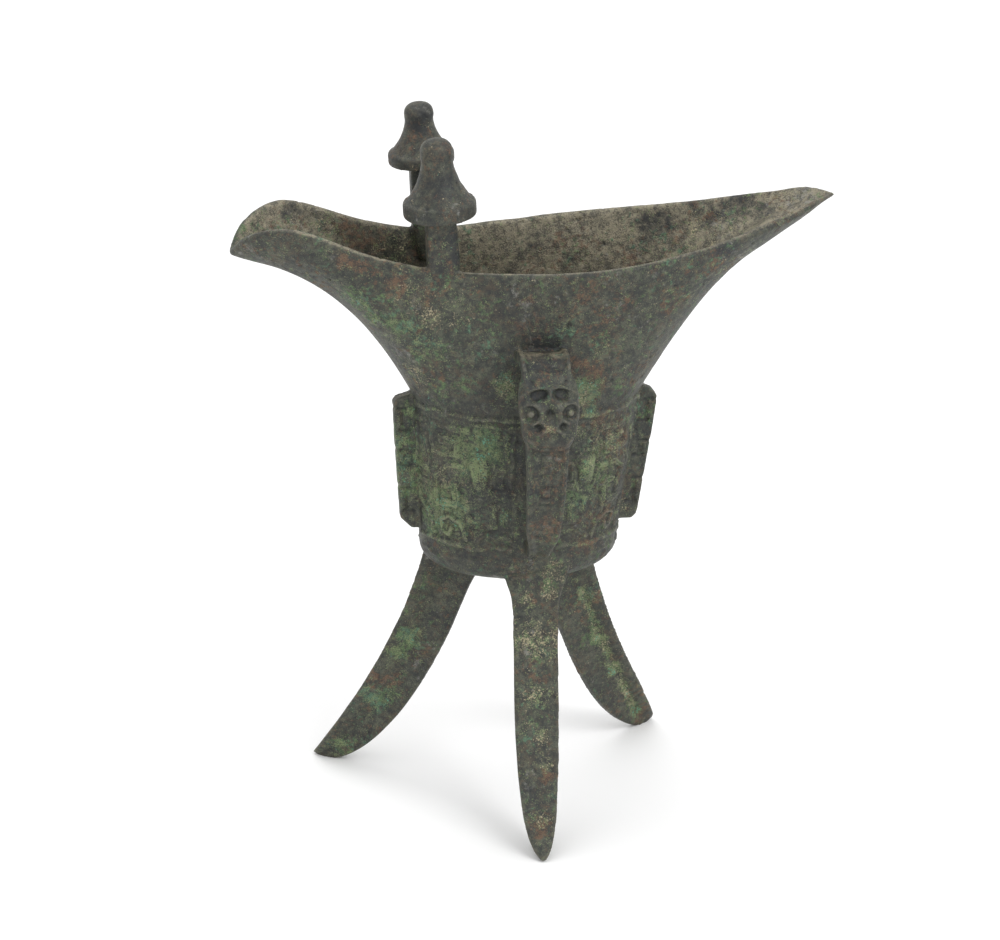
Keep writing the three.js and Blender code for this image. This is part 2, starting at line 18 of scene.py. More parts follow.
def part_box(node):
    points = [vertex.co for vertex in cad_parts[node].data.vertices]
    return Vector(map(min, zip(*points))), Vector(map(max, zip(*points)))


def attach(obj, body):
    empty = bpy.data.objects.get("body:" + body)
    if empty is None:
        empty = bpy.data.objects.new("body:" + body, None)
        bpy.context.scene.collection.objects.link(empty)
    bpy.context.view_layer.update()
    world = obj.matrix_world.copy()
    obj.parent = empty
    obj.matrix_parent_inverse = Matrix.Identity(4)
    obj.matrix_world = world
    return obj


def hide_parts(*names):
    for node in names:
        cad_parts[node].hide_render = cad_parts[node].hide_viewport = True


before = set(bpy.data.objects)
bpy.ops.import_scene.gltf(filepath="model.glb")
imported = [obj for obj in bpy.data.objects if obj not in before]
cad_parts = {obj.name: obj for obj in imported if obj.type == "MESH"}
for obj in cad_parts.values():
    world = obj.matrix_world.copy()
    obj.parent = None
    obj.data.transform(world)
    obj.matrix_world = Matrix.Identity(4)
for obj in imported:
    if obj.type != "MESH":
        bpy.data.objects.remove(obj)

LOG = logging.getLogger("bronze_jue")
MM = 0.001
FRAME_SHIFT = np.array([-2.7, 8.05, 0.0])  # from the cup's middle line to the frame's origin
TRIANGLES = 188_000
VOXEL = 0.42  # millimetres
TINY = 1e-9
SEED_STEP = 17.31  # lattice cells between the patterns of two seeds
HASH_FACTORS = np.array([73856093, 19349663, 83492791])
HASH_SEED, HASH_TURN = 2654435, 1274126177

Rings = np.ndarray
Points = np.ndarray
Colour = tuple[float, float, float]


# Curves and fields


def blend(a: np.ndarray | float, b: np.ndarray | float, share: np.ndarray) -> np.ndarray:
    """The mix of two values, a where share is 0 and b where it is 1."""
    return a + (b - a) * share


def ease(value: np.ndarray, low: float, high: float) -> np.ndarray:
    """Smooth step: 0 below low, 1 above high and a cubic S between them."""
    t = np.clip((value - low) / (high - low), 0.0, 1.0)
    return t * t * (3.0 - 2.0 * t)


def unit(vectors: np.ndarray) -> np.ndarray:
    """The vectors at length one."""
    return vectors / np.maximum(np.linalg.norm(vectors, axis=-1, keepdims=True), TINY)


def through(points: Points, place: np.ndarray) -> Points:
    """A centripetal Catmull-Rom curve through points.

    Between two points it is the cubic whose end slopes are those of the parabolas through
    three neighbours, with knots spaced by the square root of their distances.

    Args:
        points: The points to pass, one row each.
        place: Where to read the curve, 0 at the first point, 1 at the second and so on.

    Returns:
        One row for each place.
    """
    ends = np.vstack([2 * points[0] - points[1], points, 2 * points[-1] - points[-2]])
    first = np.clip(np.floor(place).astype(int), 0, len(points) - 2)
    w = (place - first)[:, None]
    p0, p1, p2, p3 = (ends[first + k] for k in range(4))
    spans = [np.linalg.norm(b - a, axis=1)[:, None] for a, b in ((p0, p1), (p1, p2), (p2, p3))]
    g0, g1, g2 = (np.maximum(np.sqrt(span), 1e-4) for span in spans)
    m1 = ((p1 - p0) / g0 - (p2 - p0) / (g0 + g1) + (p2 - p1) / g1) * g1
    m2 = ((p2 - p1) / g1 - (p3 - p1) / (g1 + g2) + (p3 - p2) / g2) * g1
    return (
        p1
        + m1 * w
        + (-3 * p1 + 3 * p2 - 2 * m1 - m2) * w**2
        + (2 * p1 - 2 * p2 + m1 + m2) * w**3
    )


def cubic(corners: list[np.ndarray], t: np.ndarray) -> np.ndarray:
    """The cubic curve whose four Bernstein weights at t mix four corners."""
    a, b, c, d = corners
    s = 1 - t
    return s**3 * a + 3 * s * s * t * b + 3 * s * t * t * c + t**3 * d


def sided(corners: np.ndarray, steps: int) -> np.ndarray:
    """Closed outlines of corners with straight sides, each side cut into steps.

    Args:
        corners: Outlines, with their corners on the last axis but one.
        steps: Points on each side, with its first corner and without its last.

    Returns:
        The outlines with all their points.
    """
    count = corners.shape[-2]
    at = np.arange(count * steps) / steps
    first = at.astype(int)
    share = (at - first)[:, None]
    return blend(corners[..., first, :], corners[..., (first + 1) % count, :], share)


def outwardness(points: Points, normals: Points) -> np.ndarray:
    """Cosine of the angle between each normal and the level way out from the Z axis."""
    return (unit(points * [1, 1, 0]) * normals).sum(1)


def noise(points: Points, size: float, seed: int) -> np.ndarray:
    """Value noise from 0 to 1: hashed lattice values, joined by smooth steps along each axis.

    Args:
        points: Places in millimetres.
        size: Distance between lattice points.
        seed: Another seed gives another pattern.

    Returns:
        One value for each point.
    """
    scaled = points / size + seed * SEED_STEP
    cell = np.floor(scaled).astype(np.int64)
    f = scaled - cell
    f = f * f * (3.0 - 2.0 * f)
    total = np.zeros(len(points))
    for corner in np.ndindex(2, 2, 2):
        hashed = (cell + corner) * HASH_FACTORS
        key = hashed[:, 0] ^ hashed[:, 1] ^ hashed[:, 2] ^ seed * HASH_SEED
        key = (key ^ (key >> 13)) * HASH_TURN & 0x7FFFFFFF
        value = ((key ^ (key >> 15)) & 0xFFFF) / 65535.0
        total += value * np.where(corner, f, 1 - f).prod(1)
    return total


def bump(distance: np.ndarray, width: float) -> np.ndarray:
    """A bell curve of distance: exp(-(distance / width) squared)."""
    return np.exp(-((distance / width) ** 2))


def near_line(a: np.ndarray, b: np.ndarray, corners: np.ndarray) -> np.ndarray:
    """Distance of each (a, b) to a line of straight stretches.

    Each stretch gives the distance to its nearest point, and the least of them counts.

    Args:
        a: First coordinates.
        b: Second coordinates.
        corners: The line's corners, one (a, b) row each.

    Returns:
        One distance for each place.
    """
    best = np.full(a.shape, np.inf)
    for (a0, b0), (a1, b1) in zip(corners[:-1], corners[1:]):
        da, db = a1 - a0, b1 - b0
        length = max(da * da + db * db, TINY)
        t = np.clip(((a - a0) * da + (b - b0) * db) / length, 0, 1)
        best = np.minimum(best, np.hypot(a - a0 - t * da, b - b0 - t * db))
    return best


@dataclass
class Skin:
    """A closed skin over rings of points, each ring with as many points."""

    rings: Rings

    def faces(self, start: int) -> list[list[int]]:
        """Quads between the rings and a lid on each end.

        Args:
            start: Number of the skin's first point in the mesh.

        Returns:
            Rows of point numbers.
        """
        rows, count = self.rings.shape[:2]
        grid = start + np.arange(rows * count).reshape(rows, count)
        nxt = np.roll(grid, -1, axis=1)
        quads = np.stack([grid[:-1], nxt[:-1], nxt[1:], grid[1:]], -1).reshape(-1, 4)
        return quads.tolist() + [grid[0, ::-1].tolist(), grid[-1].tolist()]


# The cup


class End(Enum):
    """The two ends of the mouth, by the sign of X."""

    TAIL = 1
    SPOUT = -1


@dataclass(frozen=True)
class RimStation:
    """One place of the rim.

    along is a share of the end's reach, half of the mouth's half width, lift of the way from the
    rim's lowest stretch to the end's top, slope the wall's slope in degrees and neck the turn in
    degrees from which the wall rises to it.
    """

    end: End
    along: float
    half: float
    lift: float
    slope: float
    neck: float


@dataclass
class Cup:
    """Bowl, decorated drum and flaring mouth, as one wall."""

    underside: float = 68.6
    bowl_rise: float = 11.4
    bowl_squareness: float = 3.6
    drum_height: float = 41.0
    foot_half: tuple[float, float] = (28.2, 20.5)
    neck_half: tuple[float, float] = (32.0, 22.6)
    foot_lean: float = -0.3
    neck_lean: float = 1.0
    wall: float = 2.3
    tip_wall: float = 1.1
    rim_rise: float = 41.1
    spout_rise: float = 53.1
    tail_rise: float = 54.4
    spout_reach: float = 82.0
    tail_reach: float = 87.4
    mouth_half_width: float = 27.1
    neck_slope: float = 61.5
    side_slope: float = 88.0
    flare_grip: float = 0.72
    rim_grip: float = 0.23
    tip_fade: float = 17.0
    lip: float = 0.75
    tip_share: tuple[float, float] = (0.02, 0.22)
    columns: int = 520
    stations: tuple[RimStation, ...] = (
        RimStation(End.TAIL, 1, 0, 0.965, 21, 0),
        RimStation(End.TAIL, 0.94, 0.225, 0.985, 50, 18),
        RimStation(End.TAIL, 0.82, 0.445, 0.75, 55, 24),
        RimStation(End.TAIL, 0.52, 0.815, 0.355, 74, 44),
        RimStation(End.TAIL, 0.2, 1, 0.105, 76, 70),
        RimStation(End.SPOUT, 0.1, 0.885, 0.03, 80, 102),
        RimStation(End.SPOUT, 0.31, 0.73, 0.05, 80, 125),
        RimStation(End.SPOUT, 0.53, 0.66, 0.375, 80, 145),
        RimStation(End.SPOUT, 0.82, 0.53, 1, 73, 167),
        RimStation(End.SPOUT, 0.95, 0.27, 0.705, 66, 176),
        RimStation(End.SPOUT, 1, 0, 0.16, 25, 180),
    )

    @property
    def drum_foot(self) -> float:
        """Height of the drum's foot."""
        return self.underside + self.bowl_rise

    @property
    def drum_top(self) -> float:
        """Height of the drum's top."""
        return self.drum_foot + self.drum_height

    def oval(self, share: np.ndarray | float) -> tuple[np.ndarray, np.ndarray, np.ndarray]:
        """Half lengths of the drum's oval and X of its middle, at a share of the drum's height."""
        a, b = (blend(foot, neck, share) for foot, neck in zip(self.foot_half, self.neck_half))
        return a, b, blend(self.foot_lean, self.neck_lean, share)

    def drum(self, turn: np.ndarray, share: np.ndarray | float, proud: float = 0.0) -> Points:
        """Points on the drum's oval, whose half lengths grow evenly from foot to neck.

        Args:
            turn: Angles round the oval, in radians from the tail.
            share: Heights as a share of the drum.
            proud: How far the points stand outside the oval, along its normal.

        Returns:
            One row for each angle.
        """
        share = share + 0.0 * turn
        a, b, middle = self.oval(share)
        out = unit(np.stack([np.cos(turn) / a, np.sin(turn) / b], -1))
        x = a * np.cos(turn) + proud * out[..., 0] + middle
        y = b * np.sin(turn) + proud * out[..., 1]
        return np.stack([x, y, self.drum_foot + share * self.drum_height], -1)

    def rim(self, share: np.ndarray) -> tuple[Points, Points]:
        """The rim and its wall: a curve through the stations, mirrored for the other side.

        Args:
            share: 0 at the tail's point, 1 at the spout's lip, 2 at the tail's point again.

        Returns:
            Places, and rows of the neck's direction (x, y) and the wall's slope.
        """
        rows = self.stations
        tail = np.array([s.end is End.TAIL for s in rows])
        along = np.array([s.along for s in rows])
        x = np.where(tail, self.tail_reach * along, -self.spout_reach * along)
        top = np.where(tail, self.tail_rise, self.spout_rise)
        rise = blend(self.rim_rise, top, np.array([s.lift for s in rows]))
        half = np.array([s.half for s in rows])
        places = np.stack([x, -self.mouth_half_width * half, self.drum_top + rise], 1)
        neck = np.radians([s.neck for s in rows])
        slope = np.radians([s.slope for s in rows])
        ways = np.stack([np.cos(neck), -np.sin(neck), slope], 1)
        over = np.array([1, -1, 1])
        turned = (share > 1) | (share < 0)
        at = np.where(share > 1, 2 - share, np.abs(share)) * (len(rows) - 1)
        found = []
        for curve in (places, ways):
            points = through(np.vstack([curve, curve[-2] * over]), at)
            points[turned, 1] *= -1
            found.append(points)
        return found[0], found[1]

    def bowl(self, neck: np.ndarray, row: np.ndarray) -> Points:
        """The bowl: a superellipse turned round the oval.

        Args:
            neck: Directions in radians from the tail.
            row: 0 at the bottom and 1 at the drum.

        Returns:
            One row for each direction.
        """
        angle = np.clip(row, 0, 1) * math.pi / 2
        power = 2 / self.bowl_squareness
        spread = np.sin(angle) ** power
        height = self.underside + self.bowl_rise * (1 - np.maximum(np.cos(angle), 0) ** power)
        x = np.cos(neck) * self.foot_half[0] * spread + self.foot_lean
        return np.stack([x, np.sin(neck) * self.foot_half[1] * spread, height], -1)

    def flare(self, share: np.ndarray, t: np.ndarray) -> Points:
        """The flaring wall: for each place of the rim a cubic curve from the drum's top to it.

        The curve leaves the drum at the neck's slope and arrives at the rim at the wall's slope.

        Args:
            share: Places round the rim.
            t: 0 at the drum's top and 1 at the rim.

        Returns:
            One row for each pair.
        """
        place, way = self.rim(share)
        neck = np.arctan2(way[:, 1], way[:, 0])
        start = self.drum(neck, 1.0)
        length = np.linalg.norm(place - start, axis=1)[:, None]
        leave = np.radians(blend(self.side_slope, self.neck_slope, np.cos(neck) ** 2))
        ahead = (self.drum(neck, 1.0, 1.0) - start) * np.cos(leave)[:, None]
        ahead[:, 2] = np.sin(leave)
        step = 1e-3
        along = self.rim(share + step)[0] - self.rim(share - step)[0]
        fade = np.abs(place[:, 1]) / (np.abs(place[:, 1]) + self.tip_fade)
        out = unit(np.stack([along[:, 1], -along[:, 0] * fade, 0 * fade], 1))
        out[(out[:, :2] * place[:, :2]).sum(1) < 0] *= -1
        arrive = out * np.cos(way[:, 2])[:, None]
        arrive[:, 2] = np.sin(way[:, 2])
        p1 = start + ahead * self.flare_grip * length
        p2 = place - arrive * self.rim_grip * length
        return cubic([start, p1, p2, place], t[:, None])

    def outer(self, share: np.ndarray, row: np.ndarray) -> Points:
        """The outer face of bowl, drum and flare.

        Args:
            share: Places round the rim.
            row: 0 to 1 in the bowl, to 2 in the drum and to 3 in the flare.

        Returns:
            Points in the common shape of both.
        """
        shape = np.broadcast(share, row).shape
        share, row = (np.broadcast_to(v, shape).ravel() for v in (share, row))
        way = self.rim(share)[1]
        neck = np.arctan2(way[:, 1], way[:, 0])
        drum = self.drum(neck, np.clip(row - 1, 0, 1))
        flare = self.flare(share, np.maximum(row - 2, 0))
        in_bowl, in_drum = (row <= 1)[:, None], (row <= 2)[:, None]
        upper = np.where(in_drum, drum, flare)
        return np.where(in_bowl, self.bowl(neck, row), upper).reshape(*shape, 3)

    def inner(self, share: np.ndarray, row: np.ndarray) -> Points:
        """The inner face: the outer one moved in along its normal, thinner where the sides meet.

        Args:
            share: Places round the rim.
            row: As for the outer face.

        Returns:
            Points in the common shape of both.
        """
        step = 2e-3
        at = self.outer(share, row)
        low = np.maximum(row, step)
        across = self.outer(share + step, low) - self.outer(share - step, low)
        top = np.minimum(low + step, 3)
        up = self.outer(share, top) - self.outer(share, top - 2 * step)
        normal = unit(np.cross(up, across))
        half_room = np.abs(at[..., 1])
        room = half_room / np.maximum(np.abs(normal[..., 1]), 1e-6)
        away = np.where(share > 1, 2 - share, share)
        thick = blend(self.tip_wall, self.wall, ease(away, *self.tip_share)) + 0 * room
        limited = np.where(half_room < 1e-3, thick, np.minimum(thick, 0.7 * room))
        return at - normal * limited[..., None]

    def skin(self) -> Skin:
        """The wall: up the outer face, over a rounded lip and down the inner face.

        Returns:
            One closed skin.
        """
        share = (2 * np.arange(self.columns) / self.columns)[None, :]
        rows = np.concatenate([
            np.linspace(0.02, 0.999, 30), np.linspace(1.0, 1.96, 14), np.linspace(2.0, 2.985, 70),
        ])[:, None]
        outside, inside = self.outer(share, rows), self.inner(share, rows)
        o, i = outside[-1], inside[-1]
        lift = unit(outside[-1] - outside[-3]) * self.lip
        turn = np.linspace(0, math.pi, 7)[1:-1, None, None]
        lip = (o + i) / 2 + (o - i) / 2 * np.cos(turn) + lift * np.sin(turn)
        return Skin(np.concatenate([outside, lip, inside[::-1]]))


@dataclass
class Leg:
    """A sabre leg: flat outer face, dished side faces and a blunt inner ridge."""

    cup: Cup
    root_angle: float
    foot_angle: float
    reach: float
    inset: float = 2.0
    skew: float = 0.0
    width: float = 12.8
    depth: float = 14.0
    ridge: float = 2.6
    hollow: float = 1.5
    root_flare: float = 0.12
    bluntness: float = 5.0
    slimmest: float = 0.16
    wear: float = 0.5
    steps: int = 110
    path: tuple[tuple[float, float], ...] = ((0, 1), (0.2, 0.64), (0.54, 0.31), (1, 0))

    def skin(self) -> Skin:
        """The section carried along a cubic curve from the bowl to the tip, set upright to it.

        The section is full at the root and shrinks by the root of 1 minus the bluntness power.

        Returns:
            One closed skin.
        """
        cup = self.cup
        root = cup.drum(np.radians([self.root_angle]), 0.0, -self.inset)[0]
        root[2] = cup.drum_foot - cup.bowl_rise / 2
        angle = math.radians(self.foot_angle)
        tip = np.array([math.cos(angle), math.sin(angle)]) * self.reach
        way = tip - root[:2]
        spread = np.linalg.norm(way)
        way = np.append(way / spread, 0)
        side = np.array([-way[1], way[0], 0])
        s = np.sin(np.linspace(0, math.pi / 2, self.steps))[:, None]
        p = np.array(self.path) * [spread, root[2]]
        at = cubic(list(p), s)
        first, second, third = np.diff(p, axis=0)
        tangent = unit((1 - s) ** 2 * first + 2 * (1 - s) * s * second + s * s * third)[:, None, :]
        full = np.maximum(np.sqrt(1 - s**self.bluntness), self.slimmest)
        flared = full * (1 + self.root_flare * bump(s, 0.08))
        w, d = self.width / 2 * flared, self.depth * flared
        r = np.minimum(self.ridge / 2, w * 0.8)
        dished = (w + r) / 2 - self.hollow * full
        right = [(w, 0 * d), (w * 0.96, d * 0.12), (dished, d / 2), (r, d)]
        corners = [(-w, 0 * d), *right, *[(-a, b) for a, b in right[:0:-1]]]
        section = sided(np.stack([np.concatenate(pair, 1) for pair in corners], 1), 8)
        across, inward = section[..., 0] + self.skew * (1 - full), section[..., 1]
        out = at[:, None, 0] + inward * tangent[..., 1]
        height = at[:, None, 1] - inward * tangent[..., 0]
        stretch = (root[2] + self.wear) / (root[2] - height.min())
        rings = root + out[..., None] * way + across[..., None] * side
        rings[..., 2] = np.maximum(root[2] - (root[2] - height) * stretch, 0)
        return Skin(rings)


@dataclass
class Flange:
    """An upright plate on the drum, chamfered at its outer corners."""

    cup: Cup
    turn: float
    top_chamfer: float
    foot_chamfer: float
    thickness: float = 3.8
    proud: float = 5.6
    foot_gap: float = 1.2
    bite: float = 1.1
    groove_heights: tuple[float, ...] = (6.5, 13.4, 20.4, 24.6, 31.0, 37.0)
    groove_depth: float = 0.75
    groove_width: float = 0.62
    upright: float = 3.1
    upright_width: float = 0.55

    def skin(self) -> Skin:
        """The plate's outline in the radial plane, set on both faces of its thickness.

        Returns:
            One closed skin.
        """
        cup = self.cup
        turn = np.radians([self.turn])
        near = np.hypot(*cup.drum(turn, 0.0)[0, :2]) - self.bite
        far = np.hypot(*cup.drum(turn, 1.0)[0, :2]) - self.bite
        low, high = cup.drum_foot + self.foot_gap, cup.drum_top
        edge = self.bite + self.proud
        corners = np.array([
            [near, low],
            [near + edge - self.foot_chamfer, low],
            [near + edge, low + self.foot_chamfer],
            [far + edge, high - self.top_chamfer],
            [far + edge - self.top_chamfer / 2, high - self.top_chamfer / 3],
            [far, high + self.top_chamfer / 2],
        ])
        outline = sided(corners, 24)
        across = np.linspace(-self.thickness / 2, self.thickness / 2, 6)
        rings = np.empty((len(across), len(outline), 3))
        rings[..., 0] = outline[:, 0]
        rings[..., 1] = across[:, None]
        rings[..., 2] = outline[:, 1]
        c, s = math.cos(turn[0]), math.sin(turn[0])
        return Skin(rings @ np.array([[c, s, 0], [-s, c, 0], [0, 0, 1]]))

    def plate(self, points: Points) -> tuple[np.ndarray, np.ndarray]:
        """Distances of points from the Z axis, outward in the plate's plane and across it."""
        c, s = math.cos(math.radians(self.turn)), math.sin(math.radians(self.turn))
        return points[:, 0] * c + points[:, 1] * s, -points[:, 0] * s + points[:, 1] * c

    def grooves(self, points: Points) -> np.ndarray:
        """Depth of the grooves across both faces, at points anywhere.

        A groove is a bell curve of height. Odd ones are joined by an upright groove, as hooks.

        Args:
            points: Places in millimetres.

        Returns:
            Depth in millimetres, 0 away from the plate's faces and little at its outer edge.
        """
        radial, across = self.plate(points)
        turn = np.radians([self.turn])
        height = points[:, 2] - self.cup.drum_foot
        foot, neck = (np.hypot(*self.cup.drum(turn, share)[0, :2]) for share in (0.0, 1.0))
        out = radial - blend(foot, neck, height / self.cup.drum_height)
        on_face = ease(out, 0.6, 1.4) * ease(self.thickness / 2 + 0.7 - np.abs(across), 0, 0.3)
        on_face *= 1 - 0.7 * ease(out, self.proud - 1.2, self.proud - 0.3)
        lines = np.zeros(len(points))
        for number, groove in enumerate(self.groove_heights):
            reach = ease(out, 1.6, 2.2) if number % 2 else ease(4.9 - out, 0, 0.6)
            lines = np.maximum(lines, bump(height - groove, self.groove_width) * reach)
        for low, high in zip(self.groove_heights[::2], self.groove_heights[1::2]):
            inside = ease(height, low - 0.3, low + 0.3) * ease(-height, -high - 0.3, 0.3 - high)
            lines = np.maximum(lines, bump(out - self.upright, self.upright_width) * inside)
        return self.groove_depth * lines * on_face


@dataclass(frozen=True)
class Face:
    """The beast's face, seen from the front. Places are (to the side, height) in millimetres."""

    eye: tuple[float, float] = (5.35, 129.0)
    ball: float = 1.25
    eye_groove: float = 1.55
    eye_ring: float = 2.55
    brow: tuple[float, float] = (3.6, 133.6)
    ear: tuple[float, float] = (5.6, 136.9)
    nose_ridge: float = 1.9
    nose_span: tuple[float, float] = (125.5, 132.0)
    diamond: float = 128.9
    lozenge: float = 133.0
    lip: float = 125.2
    nostril: tuple[float, float] = (3.3, 125.3)
    muzzle: float = 121.5
    chin: float = 119.0
    cheek: tuple[tuple[float, float], ...] = ((7.6, 127.5), (6.6, 122.6), (4.2, 119.8))

    def eyes(self, u: np.ndarray, z: np.ndarray) -> np.ndarray:
        """Balls in round grooves, each in a raised ring that is lower on its underside.

        Args:
            u: Distance from the face's middle.
            z: Height.

        Returns:
            Height above the plain form.
        """
        eye = np.hypot(u - self.eye[0], z - self.eye[1])
        height = 1.3 * np.sqrt(np.maximum(1 - (eye / self.ball) ** 2, 0))
        height -= 1.0 * bump(eye - self.eye_groove, 0.45)
        return height + bump(eye - self.eye_ring, 0.6) * (1 - 0.4 * ease(self.eye[1] - z, 0, 1.5))

    def brows(self, u: np.ndarray, z: np.ndarray) -> np.ndarray:
        """Crescent hollows, each under a ridge and round a small boss, and ear slits over them.

        Args:
            u: Distance from the face's middle.
            z: Height.

        Returns:
            Height above the plain form.
        """
        along = u - self.brow[0]
        over = z - self.brow[1] + 0.22 * along
        socket = np.hypot(along / 2.5, over / 1.35)
        height = -1.8 * ease(1.25 - socket, 0, 0.5)
        height += 1.0 * bump(socket - 1.6, 0.3) * ease(over, -1.2, 0.6)
        height += 0.7 * bump(np.hypot(along - 0.4, over + 0.2), 0.6)
        ear = np.hypot((u - self.ear[0]) / 1.7, (z - self.ear[1]) / 0.55)
        return height - 0.9 * ease(1.2 - ear, 0, 0.5)

    def nose(self, u: np.ndarray, z: np.ndarray) -> np.ndarray:
        """Side ridges with a diamond hollow between them, and a raised lozenge on the forehead.

        Args:
            u: Distance from the face's middle.
            z: Height.

        Returns:
            Height above the plain form.
        """
        low, high = self.nose_span
        ridge = bump(u - self.nose_ridge - 0.1 * (self.eye[1] - z), 0.55)
        height = 0.7 * ridge * ease(z, low, low + 1.5) * ease(high - z, 0, 1.5)
        height -= 1.3 * ease(1.2 - u / 0.95 - np.abs(z - self.diamond) / 1.5, 0, 0.5)
        return height + 0.6 * ease(1.2 - u / 1.3 - np.abs(z - self.lozenge) / 1.9, 0, 0.4)

    def mouth(self, u: np.ndarray, z: np.ndarray) -> np.ndarray:
        """A curved lip ridge, nostrils in rings, a rounded muzzle, a chin groove and cheek lines.

        Args:
            u: Distance from the face's middle.
            z: Height.

        Returns:
            Height above the plain form.
        """
        height = 1.9 * bump(z - self.lip + 0.14 * u * u, 0.85) * bump(u, 3.2)
        nostril = np.hypot(u - self.nostril[0], (z - self.nostril[1]) * 0.95)
        height += -0.75 * ease(1.05 - nostril, 0, 0.7) + 0.6 * bump(nostril - 1.6, 0.45)
        height += 0.9 * bump(np.hypot(u * 0.55, z - self.muzzle), 2.5)
        height -= 1.0 * bump(z - self.chin - 0.05 * u * u, 0.42)
        return height + 0.8 * bump(near_line(u, z, np.array(self.cheek)), 0.6)

    def height(self, x: np.ndarray, z: np.ndarray) -> np.ndarray:
        """Height of all features above the plain form, at places across and up the face."""
        u = np.abs(x)
        return self.eyes(u, z) + self.brows(u, z) + self.nose(u, z) + self.mouth(u, z)


@dataclass
class Handle:
    """The loop handle: a strap with raised borders, and a beast's head on top of it.

    Each of the head's levels is a height, a half width, the middle's Y and a half depth.
    """

    cup: Cup
    reach: float = 17.4
    top_rise: float = 18.0
    foot_rise: float = 1.8
    top_width: float = 14.0
    foot_width: float = 8.2
    thickness: float = 4.0
    lean: float = 0.6
    border: float = 1.3
    tongue: float = 0.7
    steps: int = 120
    face: Face = Face()
    head_lean: float = 0.3
    squareness: float = 0.78
    incised: float = 0.6
    incised_width: float = 0.5
    levels: tuple[tuple[float, float, float, float], ...] = (
        (117.4, 3.0, -38.2, 1.2),
        (118.2, 5.0, -38.4, 2.6),
        (119.6, 6.4, -38.2, 3.6),
        (122.0, 7.3, -37.8, 4.1),
        (125.5, 7.7, -37.4, 4.1),
        (129.0, 8.2, -36.8, 4.0),
        (133.0, 8.3, -36.0, 3.8),
        (136.5, 7.6, -34.6, 3.8),
        (138.8, 6.2, -33.0, 3.4),
        (140.0, 3.5, -31.8, 2.0),
    )

    @property
    def front(self) -> float:
        """Y of the strap's outer face."""
        return -self.cup.neck_half[1] - self.reach

    def strap(self) -> Skin:
        """The strap's section, with raised borders, carried along a curve through its loop.

        Returns:
            One closed skin.
        """
        cup = self.cup
        middle = self.front + self.thickness / 2
        roots = np.array([1 - cup.neck_half[1]] * 4 + [1 - cup.foot_half[1]] * 4)
        out = np.array([0, 0.55, 0.92, 1, 0.98, 0.8, 0.45, 0])
        up = np.array([1, 1.03, 0.92, 0.7, 0.4, 0.17, 0.03, 0])
        y = blend(roots, middle, out)
        z = blend(cup.drum_foot + self.foot_rise, cup.drum_top + self.top_rise, up)
        loop = np.stack([np.full(len(up), self.lean), y, z], 1)
        t = np.linspace(0, 1, self.steps)
        line = through(loop, t * (len(up) - 1))
        along = unit(np.gradient(line, axis=0))
        normal = np.stack([0 * t, along[:, 2], -along[:, 1]], 1)
        half = blend(self.top_width, self.foot_width, ease(t, 0.1, 0.95))[:, None] / 2
        half *= blend(1.0, self.tongue, ease(t, 0.7, 0.83))[:, None]
        edge = self.border
        back = [half, half * 0.99, half * 0.93, half * 0.8]
        x = back + [-v for v in back[::-1]]
        x += [-half, edge - half, edge + 0.5 - half, half - edge - 0.5, half - edge, half]
        q = [-0.5, -0.75, -0.9, -1, -1, -0.9, -0.75, -0.5, 0.92, 0.97, 0.55, 0.55, 0.97, 0.92]
        deep = self.thickness / 2 * np.array(q) + 0 * half
        section = sided(np.stack([np.concatenate(x, 1), deep], -1), 5)
        rings = line[:, None] + normal[:, None] * section[..., 1:]
        rings[..., 0] += section[..., 0]
        return Skin(rings)

    def head(self) -> Skin:
        """The beast's head: an upright rounded form whose front is raised and sunk by its face.

        A ring at each height is a superellipse. Its points move out by the face's height, which
        is a sum of bell curves and rings of the place seen from the front.

        Returns:
            One closed skin.
        """
        levels = np.array(self.levels)
        row = np.linspace(0, len(levels) - 1, 150)
        z, half, centre, deep = through(levels, row).T[:, :, None]
        turn = np.linspace(0, 2 * math.pi, 200, endpoint=False)[None, :]
        c, s = np.cos(turn), np.sin(turn)
        x = half * np.sign(c) * np.abs(c) ** self.squareness
        y = deep * np.sign(s) * np.abs(s) ** self.squareness
        raised = self.face.height(x, z + 0 * x) * ease(-s, 0.05, 0.5)
        out = unit(np.stack([0.35 * x / half, y / deep, 0 * x], -1))
        rings = np.stack([x, centre + y, z + 0 * x], -1) + out * raised[..., None]
        rings[..., 0] += self.lean + self.head_lean
        return Skin(rings)

    def incising(self, points: Points) -> np.ndarray:
        """Depth of the worn lines cut into the strap's middle below the head.

        Args:
            points: Places in millimetres.

        Returns:
            Depth in millimetres.
        """
        x, z = points[:, 0] - self.lean, points[:, 2]
        on = ease(self.front + 2.6 - points[:, 1], 0, 0.8)
        on *= ease(117.5 - z, 0, 1.5) * ease(z, 88, 91)
        hook = np.array([[-1.6, 0], [1.7, 0], [1.7, 5.6], [-1.6, 5.6], [-1.6, 2.2], [0.3, 2.2]])
        wave = np.zeros(len(points))
        for low in (92.0, 101.0, 110.0):
            wave = np.maximum(wave, bump(near_line(x, z, hook + [0, low]), self.incised_width))
        return self.incised * wave * on


